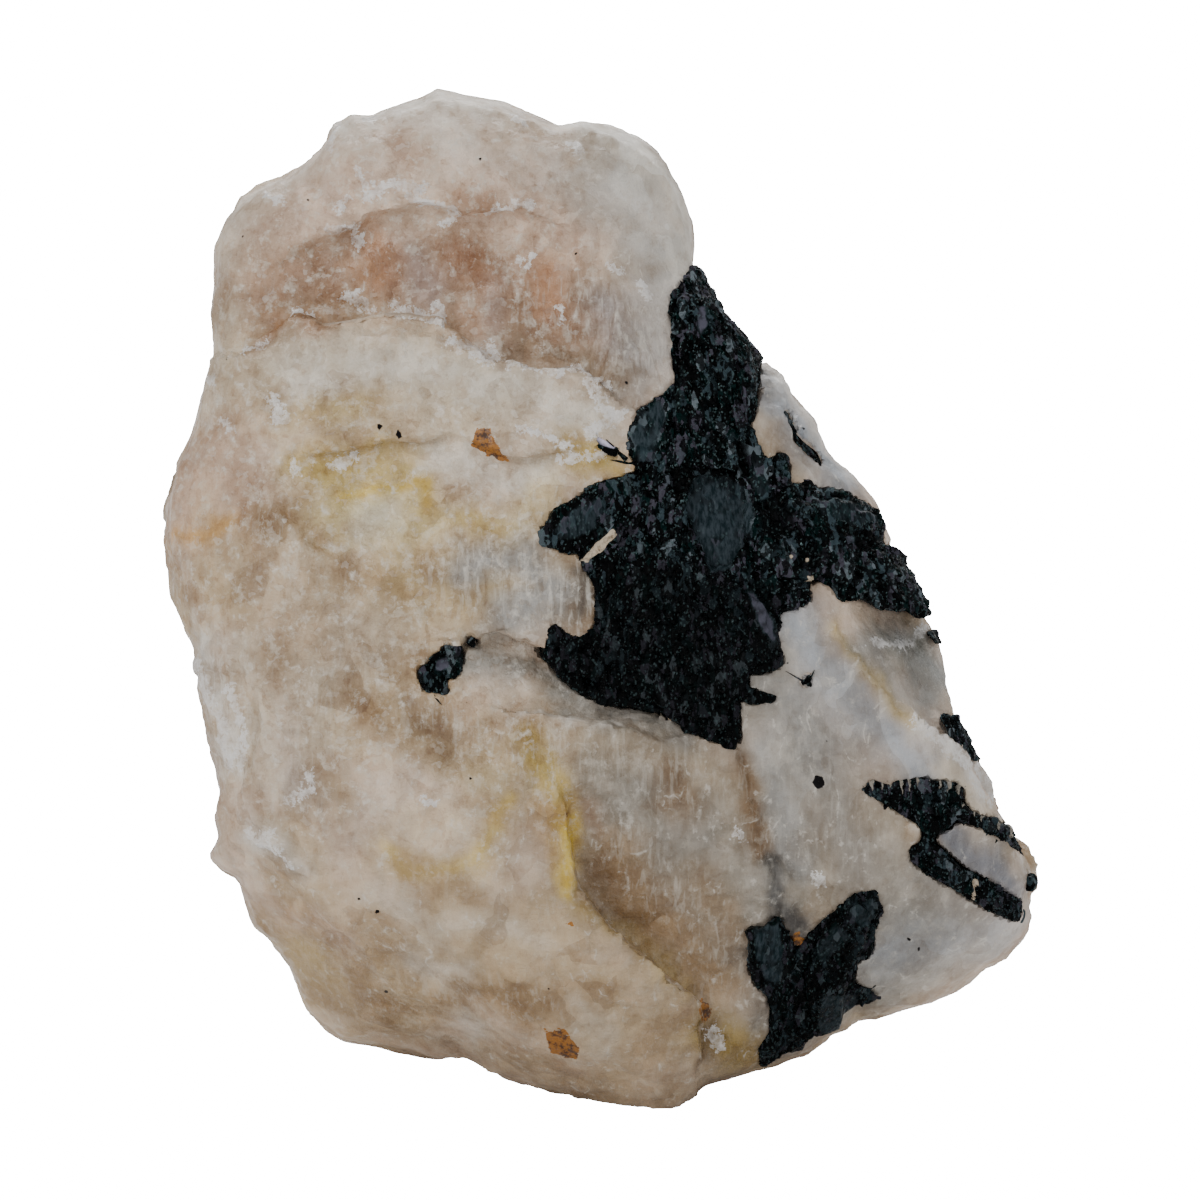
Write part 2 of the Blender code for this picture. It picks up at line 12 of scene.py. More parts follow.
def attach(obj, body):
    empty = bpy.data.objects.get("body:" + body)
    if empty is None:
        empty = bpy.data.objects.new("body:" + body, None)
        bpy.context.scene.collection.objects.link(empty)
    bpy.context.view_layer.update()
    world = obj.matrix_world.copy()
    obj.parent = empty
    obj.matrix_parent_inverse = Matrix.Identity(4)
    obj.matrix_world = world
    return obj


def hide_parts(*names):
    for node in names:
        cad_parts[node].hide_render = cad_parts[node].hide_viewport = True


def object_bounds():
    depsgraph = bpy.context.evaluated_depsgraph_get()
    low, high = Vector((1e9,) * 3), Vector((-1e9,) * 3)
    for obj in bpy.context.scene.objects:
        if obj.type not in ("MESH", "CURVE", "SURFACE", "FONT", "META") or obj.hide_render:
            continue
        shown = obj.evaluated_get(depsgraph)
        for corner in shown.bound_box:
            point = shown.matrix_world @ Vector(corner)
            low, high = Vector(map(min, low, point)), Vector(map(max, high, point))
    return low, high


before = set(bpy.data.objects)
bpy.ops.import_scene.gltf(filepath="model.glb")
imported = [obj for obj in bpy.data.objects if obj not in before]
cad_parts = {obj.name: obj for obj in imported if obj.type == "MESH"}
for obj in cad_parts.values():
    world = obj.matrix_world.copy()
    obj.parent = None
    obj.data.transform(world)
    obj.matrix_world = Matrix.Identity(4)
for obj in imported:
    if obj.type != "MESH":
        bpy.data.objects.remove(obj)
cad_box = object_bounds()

# The rose quartz itself: one lump broken out of a pegmatite, milky and faintly pink, with stepped
# fracture faces, cloudy veils inside and brown iron stain along its cracks. Its CAD solid gets an even
# mesh, which is then worked with swells, broken plates, steps, flakes and cracks.

MM = 0.001

# Marks are placed on a sheet 120 mm square that is laid square to the view: x runs right and y runs
# down from its upper left corner, in millimetres, and depth runs away from the viewer. The sheet is
# held to the frame by the main crystal, whose left, top and back on the sheet are known.
LOOK_DOWN = math.radians(12.0)
SHEET_UP = np.array((0.0, math.sin(LOOK_DOWN), math.cos(LOOK_DOWN)))
SHEET_IN = np.array((0.0, math.cos(LOOK_DOWN), -math.sin(LOOK_DOWN)))
MAIN_LEFT_ON_SHEET = 54.2
MAIN_TOP_ON_SHEET = 26.8
MAIN_BACK_DEPTH = 3.0

# The mesh: its grid, the depth on the sheet past which fewer faces do, the depths where the face starts
# to give way to the sides and where it ends, and how widely and how often the worn ledge is smoothed
DOUBLES_WITHIN = 0.0001 * MM
QUARTZ_GRID = 0.45 * MM
BACK_STARTS_AT = 1.0
BACK_FACES_KEPT = 0.66
FACE_FADES_AT = 3.0
FACE_ENDS_AT = 9.0
LEDGE_WIDTH = 2.6
LEDGE_PASSES = 24
SHARP_FROM = math.radians(38.0)

# How far each kind of relief rises, in millimetres
SWELL_RISE = 0.22
PLATE_RISE = 0.11
BACK_PLATE_RISE = 0.6
FLAKE_RISE = 0.14
CHIP_RISE = 0.22
CHIP_REACH = 1.3

# The pockets: how far a filled one's ring reaches, how far its floor lies under the face and how deep
# it may be, all in millimetres, and how near a rim has to be to close up on its crystal, and how far
FILL_RING = 0.9
FILL_UNDER_FACE = 0.12
FILL_DEPTH = 9.0
POCKET_REACH = 0.9 * MM
POCKET_CLOSING = 0.3 * MM


def vectors_of(items, field):
    """One vector for each item of a mesh, as rows of an array."""
    flat = np.empty(len(items) * 3, dtype=np.float32)
    items.foreach_get(field, flat)
    return flat.reshape(-1, 3).astype(np.float64)


def points_of(mesh):
    """The places of a mesh's vertices."""
    return vectors_of(mesh.vertices, "co")


def normals_of(mesh):
    """The directions that a mesh's vertices face."""
    return vectors_of(mesh.vertex_normals, "vector")


main_points = points_of(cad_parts["tourmaline_main"].data)
SHEET_LEFT = main_points[:, 0].min() - MAIN_LEFT_ON_SHEET * MM
SHEET_TOP = (main_points @ SHEET_UP).max() + MAIN_TOP_ON_SHEET * MM
SHEET_DEPTH = (main_points @ SHEET_IN).max() - MAIN_BACK_DEPTH * MM


def on_sheet(places):
    """The sheet x, sheet y and depth behind the sheet of some places, in millimetres."""
    x = (places[:, 0] - SHEET_LEFT) / MM
    y = (SHEET_TOP - places @ SHEET_UP) / MM
    depth = (places @ SHEET_IN - SHEET_DEPTH) / MM
    return x, y, depth


def merged_solid(node_name):
    """A copy of a CAD solid's mesh with its loose triangles joined up."""
    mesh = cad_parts[node_name].data.copy()
    bm = bmesh.new()
    bm.from_mesh(mesh)
    bmesh.ops.remove_doubles(bm, verts=bm.verts, dist=DOUBLES_WITHIN)
    bm.to_mesh(mesh)
    bm.free()
    return mesh


def held(mesh):
    """A passing object that holds a mesh while a modifier works on it."""
    holder = bpy.data.objects.new("holder", mesh)
    bpy.context.collection.objects.link(holder)
    return holder


def worked(holder):
    """The mesh that the holder's modifier makes. The holder is thrown away."""
    depsgraph = bpy.context.evaluated_depsgraph_get()
    result = bpy.data.meshes.new_from_object(holder.evaluated_get(depsgraph))
    bpy.data.objects.remove(holder)
    return result


def even_mesh(mesh, grid):
    """The same closed shape with an even mesh of small faces, ready to be worked."""
    holder = held(mesh)
    remesh = holder.modifiers.new("even_mesh", "REMESH")
    remesh.mode = "VOXEL"
    remesh.voxel_size = grid
    return worked(holder)


def coarser(mesh, chosen, kept):
    """The mesh with fewer faces where vertices are chosen."""
    holder = held(mesh)
    group = holder.vertex_groups.new(name="coarser")
    group.add([int(index) for index in np.nonzero(chosen)[0]], 1.0, "REPLACE")
    decimate = holder.modifiers.new("coarser", "DECIMATE")
    decimate.ratio = kept
    decimate.vertex_group = "coarser"
    decimate.vertex_group_factor = 10.0
    return worked(holder)


def smooth_mesh(mesh, chosen, passes):
    """Lets the chosen vertices settle between their neighbours."""
    bm = bmesh.new()
    bm.from_mesh(mesh)
    bm.verts.ensure_lookup_table()
    settling = [bm.verts[int(index)] for index in np.nonzero(chosen)[0]]
    for _ in range(passes):
        bmesh.ops.smooth_vert(bm, verts=settling, factor=0.5,
                              use_axis_x=True, use_axis_y=True, use_axis_z=True)
    bm.to_mesh(mesh)
    bm.free()


def move_points(mesh, places):
    """Puts the vertices of a mesh at new places."""
    mesh.vertices.foreach_set("co", places.astype(np.float32).ravel())
    mesh.update()


def soft_noise(places, wavelength, seed):
    """Smooth noise at each place, from about -1 to 1, with swells of one wavelength."""
    scale = 1.0 / (wavelength * MM)
    shift = Vector((seed * 7.31, seed * 3.17, seed * 5.71))
    values = [noise.noise(Vector(place) * scale + shift) for place in places]
    return np.array(values) * 1.6


def rough_noise(places, wavelength, octaves, seed):
    """Noise with finer and finer swells on top of each other."""
    total = np.zeros(len(places))
    for octave in range(octaves):
        total += soft_noise(places, wavelength / 2 ** octave, seed + octave) / 2 ** octave
    return total


def smooth_step(low, high, value):
    """0 at the low end and 1 at the high end, with a soft start and finish."""
    share = np.clip((value - low) / (high - low), 0.0, 1.0)
    return share * share * (3.0 - 2.0 * share)


def stepped(height, edge):
    """A swelling height broken into flat plates one unit apart, with a short rise past the edge."""
    plate = np.floor(height)
    return plate + smooth_step(edge, 1.0, height - plate)


def line_sides(x, y, line):
    """The distance to a line of the sheet, and on which side of it each point lies: above is +."""
    best = np.full(len(x), 1e9)
    side = np.zeros(len(x))
    if len(line) == 1:
        return np.hypot(x - line[0][0], y - line[0][1]), side
    for (x0, y0), (x1, y1) in zip(line, line[1:]):
        run_x = x1 - x0
        run_y = y1 - y0
        along = ((x - x0) * run_x + (y - y0) * run_y) / (run_x ** 2 + run_y ** 2)
        along = np.clip(along, 0.0, 1.0)
        off_x = x - (x0 + along * run_x)
        off_y = y - (y0 + along * run_y)
        distance = np.hypot(off_x, off_y)
        closer = distance < best
        best = np.where(closer, distance, best)
        side = np.where(closer, np.sign(run_y * off_x - run_x * off_y), side)
    return best, side


def line_distance(x, y, line):
    """The distance to a line of the sheet."""
    return line_sides(x, y, line)[0]


def stroke(x, y, line, radius):
    """How strongly a brush of a radius, drawn along a line, reaches each point: 1 on the line."""
    return np.exp(-(line_distance(x, y, line) / radius) ** 2)


def patch(x, y, outline, border):
    """1 inside an outline and 0 outside, with a soft border of a width."""
    inside = np.zeros(len(x), dtype=bool)
    for (x0, y0), (x1, y1) in zip(outline, outline[1:] + outline[:1]):
        crosses = (y0 > y) != (y1 > y)
        at = x0 + (y - y0) / ((y1 - y0) if y1 != y0 else 1e-9) * (x1 - x0)
        inside ^= crosses & (x < at)
    distance = line_distance(x, y, outline + outline[:1])
    signed = np.where(inside, distance, -distance)
    return smooth_step(-border / 2, border / 2, signed)


def covers_of(x, y, outlines, border):
    """How far each of some outlines covers each point."""
    return [patch(x, y, outline, border) for outline in outlines]


def strongest(covers):
    """The strongest of several covers at each point."""
    return np.maximum.reduce(list(covers))


def painted(values, name, mesh):
    """Stores one number for each vertex, for the material to read."""
    attribute = mesh.attributes.new(name, "FLOAT", "POINT")
    attribute.data.foreach_set("value", values.astype(np.float32))


# Where fracture steps run across the face: the line, how far its upper side stands proud in
# millimetres, how wide the edge is, and how far the step takes to heal
FRACTURE_STEPS = [
    ([(24.8, 35.4), (27.4, 35.1), (29.0, 32.2), (31.5, 31.9), (34.3, 33.5), (40.1, 33.5), (45.2, 34.1),
      (49.4, 36.7), (57.7, 37.3), (60.5, 39.2)], -0.9, 0.35, 4.0),
    ([(33.1, 23.3), (36.3, 23.6), (38.0, 21.0), (42.7, 19.5)], 0.5, 0.3, 2.5),
    ([(37.6, 18.5), (42.7, 19.5), (46.0, 21.5)], 0.5, 0.3, 2.0),
    ([(49.1, 21.5), (52.9, 21.4), (56.0, 22.6)], 0.4, 0.25, 2.0),
    ([(39.5, 30.6), (44.6, 32.5)], 0.4, 0.25, 1.6),
    ([(34.7, 30.0), (37.6, 31.0)], 0.35, 0.25, 1.4),
    ([(45.2, 34.1), (49.4, 36.7)], 0.5, 0.3, 1.6),
    ([(58.0, 37.5), (60.2, 40.2), (62.0, 41.0)], 0.5, 0.3, 2.0),
    ([(50.0, 46.3), (56.0, 45.5), (63.7, 46.0)], 0.4, 0.3, 2.5),
    ([(34.4, 49.4), (38.5, 49.8), (41.1, 48.8), (43.3, 49.1)], 0.35, 0.3, 2.0),
    ([(46.2, 63.5), (50.5, 63.2), (54.6, 64.6)], 0.5, 0.3, 3.0),
    ([(52.0, 70.6), (58.8, 71.6), (63.5, 72.1), (66.5, 71.9)], -0.5, 0.3, 3.0),
    ([(26.1, 82.8), (27.2, 84.6), (30.1, 87.1)], 0.5, 0.25, 2.4),
    ([(24.7, 78.9), (25.8, 75.3), (26.5, 72.1), (25.4, 68.5)], -0.5, 0.3, 3.0),
    ([(20.4, 67.1), (23.6, 66.9), (24.2, 63.6)], 0.4, 0.3, 2.0),
    ([(27.6, 76.4), (31.8, 76.2), (32.2, 80.0)], -0.3, 0.25, 2.0),
    ([(53.3, 74.6), (55.4, 77.8), (56.9, 81.0), (56.5, 83.1), (57.6, 86.4), (60.4, 91.7), (65.5, 95.8),
      (70.3, 100.2), (69.9, 102.9), (69.6, 109.0)], -0.4, 0.3, 4.0),
    ([(73.6, 75.5), (76.7, 85.6)], -0.6, 0.4, 3.0),
    ([(84.5, 64.0), (86.8, 67.4), (89.2, 70.1), (91.2, 71.4)], -0.5, 0.4, 3.0),
    ([(91.2, 72.0), (94.3, 74.1), (97.6, 76.8), (100.7, 81.6)], 0.5, 0.3, 3.0),
    ([(75.6, 36.0), (77.7, 40.2)], 0.4, 0.3, 2.5),
    ([(28.9, 45.6), (31.2, 45.0), (36.0, 45.0), (42.7, 44.0), (46.0, 43.4)], 0.3, 0.25, 2.5),
]

# White flakes, chipped up along the steps: a line on the sheet and how broad the flake is
FLAKES = [
    ([(37.0, 20.0), (39.5, 18.8), (42.5, 19.5)], 0.9), ([(33.3, 23.3), (36.2, 23.5)], 0.45),
    ([(35.8, 23.6), (36.3, 25.0)], 0.35), ([(49.2, 21.5), (51.0, 21.3), (53.2, 20.9)], 0.4),
    ([(44.4, 22.9), (46.2, 22.0)], 0.35), ([(34.6, 30.2), (37.2, 31.0)], 0.5),
    ([(36.2, 29.8), (36.0, 31.0)], 0.3), ([(39.6, 30.7), (42.0, 31.8), (44.4, 32.4)], 0.6),
    ([(43.6, 30.8), (44.6, 32.6)], 0.35), ([(45.4, 34.2), (47.2, 35.2), (49.2, 36.4)], 0.75),
    ([(49.0, 34.6), (49.3, 36.6)], 0.4), ([(50.8, 37.0), (54.0, 37.3), (57.6, 37.4)], 0.22),
    ([(58.1, 37.6), (59.4, 39.4), (60.2, 40.2)], 0.35), ([(60.2, 38.4), (61.0, 38.8)], 0.3),
    ([(56.0, 31.2), (56.2, 32.4)], 0.3), ([(51.6, 26.6), (52.6, 27.2), (53.2, 26.2)], 0.25),
    ([(52.0, 11.8), (52.6, 12.4)], 0.5), ([(57.2, 15.0), (58.0, 15.8)], 0.5),
    ([(27.0, 20.0), (28.2, 20.6)], 0.45), ([(64.2, 28.8), (64.9, 30.2)], 0.35),
    ([(20.9, 37.8), (21.8, 38.4)], 0.3), ([(27.6, 40.0), (28.8, 41.6)], 0.35),
    ([(24.6, 35.2), (27.0, 34.8)], 0.4), ([(27.8, 42.4), (29.4, 41.8)], 0.4),
    ([(22.4, 42.2), (23.6, 43.2)], 0.25), ([(33.4, 46.6), (36.0, 45.6)], 0.28),
    ([(29.8, 47.8), (30.4, 46.8)], 0.3), ([(41.0, 20.2), (43.0, 21.0), (45.6, 21.6)], 0.45),
    ([(34.2, 21.4), (35.0, 20.0)], 0.4), ([(36.0, 17.4), (37.0, 18.4)], 0.35),
    ([(33.4, 15.2), (33.8, 11.8)], 0.3), ([(36.6, 12.0), (37.4, 12.2)], 0.4),
    ([(29.6, 31.8), (31.4, 31.6)], 0.25), ([(61.0, 27.0), (62.4, 27.2)], 0.2),
    ([(58.8, 43.6), (62.0, 41.6)], 0.5), ([(60.0, 41.0), (62.2, 41.6)], 0.35),
    ([(52.0, 43.0), (57.0, 45.0)], 0.3), ([(56.2, 46.2), (60.2, 46.0)], 0.3),
    ([(19.8, 66.0), (21.6, 71.0)], 0.5), ([(22.0, 72.0), (23.0, 75.6)], 0.5),
    ([(23.0, 77.0), (24.2, 74.6)], 0.35), ([(29.0, 79.6), (31.4, 79.0)], 0.6),
    ([(23.2, 68.6), (24.6, 73.0), (24.6, 76.8)], 0.4), ([(25.0, 83.0), (27.4, 84.4), (29.6, 86.4)], 0.5),
    ([(26.0, 83.6), (27.8, 83.2)], 0.45), ([(21.4, 69.6), (22.6, 74.0)], 0.35),
    ([(31.4, 77.0), (31.8, 78.6)], 0.3), ([(91.0, 71.9), (92.4, 72.6), (94.0, 74.0)], 0.6),
    ([(94.4, 74.4), (97.2, 76.8), (99.6, 80.2)], 0.45), ([(81.4, 87.6), (81.8, 88.0)], 0.45),
    ([(87.0, 64.2), (91.0, 64.6), (92.6, 62.6)], 0.3), ([(71.4, 103.0), (71.8, 104.6)], 0.5),
    ([(73.6, 83.0), (74.2, 83.6)], 0.3), ([(43.0, 79.6), (43.6, 79.9)], 0.25),
]

# Narrow cracks in the face: the line, its half width and its depth
CRACKS = [
    ([(57.6, 86.4), (57.9, 89.2), (60.4, 91.7), (65.5, 95.8), (70.3, 100.2), (69.9, 102.9)], 0.3, 0.35),
    ([(24.3, 44.0), (25.0, 48.6), (24.6, 51.6)], 0.25, 0.2),
    ([(27.0, 47.6), (26.2, 50.0)], 0.25, 0.25),
    ([(28.2, 36.6), (30.6, 41.6)], 0.2, 0.15),
    ([(69.4, 101.8), (71.0, 102.9), (73.5, 105.0)], 0.3, 0.35),
    ([(75.6, 91.0), (74.4, 87.0), (71.0, 83.0)], 0.3, 0.2),
    ([(44.6, 69.2), (46.5, 69.6), (47.2, 70.2)], 0.15, 0.12),
]

# Pockets far wider than the thin crystals in them, filled up to just under the face: line and radius
FILLED_POCKETS = [
    ([(80.4, 67.7), (80.9, 68.4)], 1.2),
    ([(46.9, 64.2), (47.3, 64.6)], 0.8),
    ([(78.2, 41.6), (80.6, 45.3), (81.8, 46.4)], 1.0),
]

# The upper edge of the pink hollow, which is worn round
WORN_LEDGE = [(27.8, 25.7), (33.9, 23.7), (37.8, 21.5), (43.3, 20.6), (52.8, 20.7), (59.4, 23.7)]


def fracture_relief(places, x, y):
    """The height that steps, flakes and cracks add to the face, in millimetres."""
    total = np.zeros(len(x))
    chipped = np.zeros(len(x))
    for line, rise, edge, reach in FRACTURE_STEPS:
        distance, side = line_sides(x, y, line)
        fade = np.exp(-(distance / reach) ** 2)
        total += rise * (smooth_step(-edge, edge, distance * side) - 0.5) * fade
        chipped = np.maximum(chipped, np.exp(-(distance / CHIP_REACH) ** 2))
    for line, width, depth in CRACKS:
        total -= depth * stroke(x, y, line, width)
    for line, breadth in FLAKES:
        total += FLAKE_RISE * smooth_step(breadth * 1.2, breadth * 0.4, line_distance(x, y, line))
    return total + chipped * rough_noise(places, 1.9, 2, 90) * CHIP_RISE


quartz_mesh = even_mesh(merged_solid("rose_quartz"), QUARTZ_GRID)
_, _, mesh_depth = on_sheet(points_of(quartz_mesh))
quartz_mesh = coarser(quartz_mesh, mesh_depth > BACK_STARTS_AT, BACK_FACES_KEPT)
mesh_x, mesh_y, mesh_depth = on_sheet(points_of(quartz_mesh))
on_ledge = (line_distance(mesh_x, mesh_y, WORN_LEDGE) < LEDGE_WIDTH) & (mesh_depth <= FACE_ENDS_AT)
smooth_mesh(quartz_mesh, on_ledge, LEDGE_PASSES)

quartz_places = points_of(quartz_mesh)
quartz_normals = normals_of(quartz_mesh)
sheet_x, sheet_y, sheet_depth = on_sheet(quartz_places)
facing = -(quartz_normals @ SHEET_IN)
face_share = smooth_step(-0.15, 0.25, facing) * smooth_step(FACE_ENDS_AT, FACE_FADES_AT, sheet_depth)

# Nothing in a broken stone runs true, so the brush wanders, and lines wander a little less
wander_x = soft_noise(quartz_places, 4.0, 1) * 0.8 + soft_noise(quartz_places, 1.3, 2) * 0.35
wander_y = soft_noise(quartz_places, 4.0, 3) * 0.8 + soft_noise(quartz_places, 1.3, 4) * 0.35
brush_x = sheet_x + wander_x
brush_y = sheet_y + wander_y
line_x = sheet_x + wander_x * 0.35 + soft_noise(quartz_places, 1.0, 5) * 0.3
line_y = sheet_y + wander_y * 0.35 + soft_noise(quartz_places, 1.0, 6) * 0.3

# Swells, small broken plates and a fine grain lie all over, and the steps and flakes on the face
swells = rough_noise(quartz_places, 11.0, 3, 10)
plates = stepped(rough_noise(quartz_places * (1.0, 1.0, 1.6), 6.0, 3, 20) * 3.0, 0.82)
plate_share = 0.35 + 0.65 * smooth_step(-0.2, 0.5, soft_noise(quartz_places, 14.0, 30))
grain = soft_noise(quartz_places, 1.0, 40) * 0.045 + soft_noise(quartz_places, 0.6, 41) * 0.025
relief = swells * SWELL_RISE + plates * PLATE_RISE * plate_share + grain
relief += fracture_relief(quartz_places, line_x, line_y) * face_share

# The sides and the back are broken in large plates, clear of the crystals and the table
crystals = bmesh.new()
for node_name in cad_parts:
    if node_name != "rose_quartz":
        crystals.from_mesh(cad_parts[node_name].data)
crystal_tree = BVHTree.FromBMesh(crystals)
crystals.free()
from_crystals = np.full(len(quartz_places), 9.0 * MM)
for index, place in enumerate(quartz_places):
    near, _, _, distance = crystal_tree.find_nearest(Vector(place), 6.0 * MM)
    if near is not None:
        from_crystals[index] = distance
table_height = cad_box[0][2]
broken_back = smooth_step(0.1, -0.5, facing) * smooth_step(1.0 * MM, 5.5 * MM, from_crystals)
broken_back *= smooth_step(0.5 * MM, 5.0 * MM, quartz_places[:, 2] - table_height)
back_swells = rough_noise(quartz_places, 17.0, 2, 24) * 2.6
back_plates = stepped(back_swells, 0.80) + rough_noise(quartz_places, 7.0, 3, 27) * 0.45
relief += back_plates * BACK_PLATE_RISE * broken_back
quartz_places += quartz_normals * relief[:, None] * MM

# A filled pocket gets a level floor that carries on the face round it
filled_x, filled_y, filled_depth = on_sheet(quartz_places)
for line, radius in FILLED_POCKETS:
    distance = line_distance(filled_x, filled_y, line)
    ring = (distance > radius) & (distance < radius + FILL_RING) & (facing > 0.4)
    surround = np.stack([filled_x[ring], filled_y[ring], np.ones(ring.sum())], axis=1)
    slope, _, _, _ = np.linalg.lstsq(surround, filled_depth[ring], rcond=None)
    level = filled_x * slope[0] + filled_y * slope[1] + slope[2] + FILL_UNDER_FACE
    within = (distance < radius) & (filled_depth > level) & (filled_depth < level + FILL_DEPTH)
    quartz_places[within] += ((level - filled_depth)[within])[:, None] * SHEET_IN * MM

# The rims of the pockets close up on their crystals, and the stone's foot stays on the table
closing = np.zeros(len(quartz_places))
for index, (place, normal) in enumerate(zip(quartz_places, quartz_normals)):
    near, _, _, distance = crystal_tree.find_nearest(Vector(place), POCKET_REACH)
    if near is not None and distance > 0.0:
        closing[index] = max(0.0, (near - Vector(place)).normalized().dot(Vector(normal)))
quartz_places += quartz_normals * (closing * POCKET_CLOSING)[:, None]
quartz_places[:, 2] = np.maximum(quartz_places[:, 2], table_height)
move_points(quartz_mesh, quartz_places)


def shade(red, green, blue):
    """A colour as a linear mix, from the 0 to 255 that a screen shows, a little richer."""
    mix = np.array([(channel / 255.0) ** 2.2 for channel in (red, green, blue)])
    grey = mix.mean()
    return np.clip(grey + (mix - grey) * 1.65, 0.002, 0.95)


MILK = shade(168, 153, 134)
PALE = shade(196, 188, 176)
COOL_WHITE = shade(206, 203, 198)
GREY = shade(150, 149, 147)
ROSE = shade(194, 175, 162)
DEEP_ROSE = shade(150, 122, 104)
BROWN_ROSE = shade(140, 119, 105)
MAUVE = shade(146, 134, 130)
CREAM = shade(202, 190, 156)
OLIVE = shade(164, 147, 109)
YELLOW = shade(194, 172, 112)
TAN = shade(172, 142, 108)
SMOKE_AND_SHADE = shade(102, 86, 70)
BROWN = shade(132, 114, 95)
SHADOWED = shade(138, 125, 111)
SOOT = shade(54, 54, 54)
BRIGHT = shade(228, 225, 218)
HAZE_AND_SHADE = shade(128, 126, 122)
COOL = shade(163, 167, 172)
COOL_DARK = shade(122, 127, 128)
LILAC = shade(119, 120, 125)
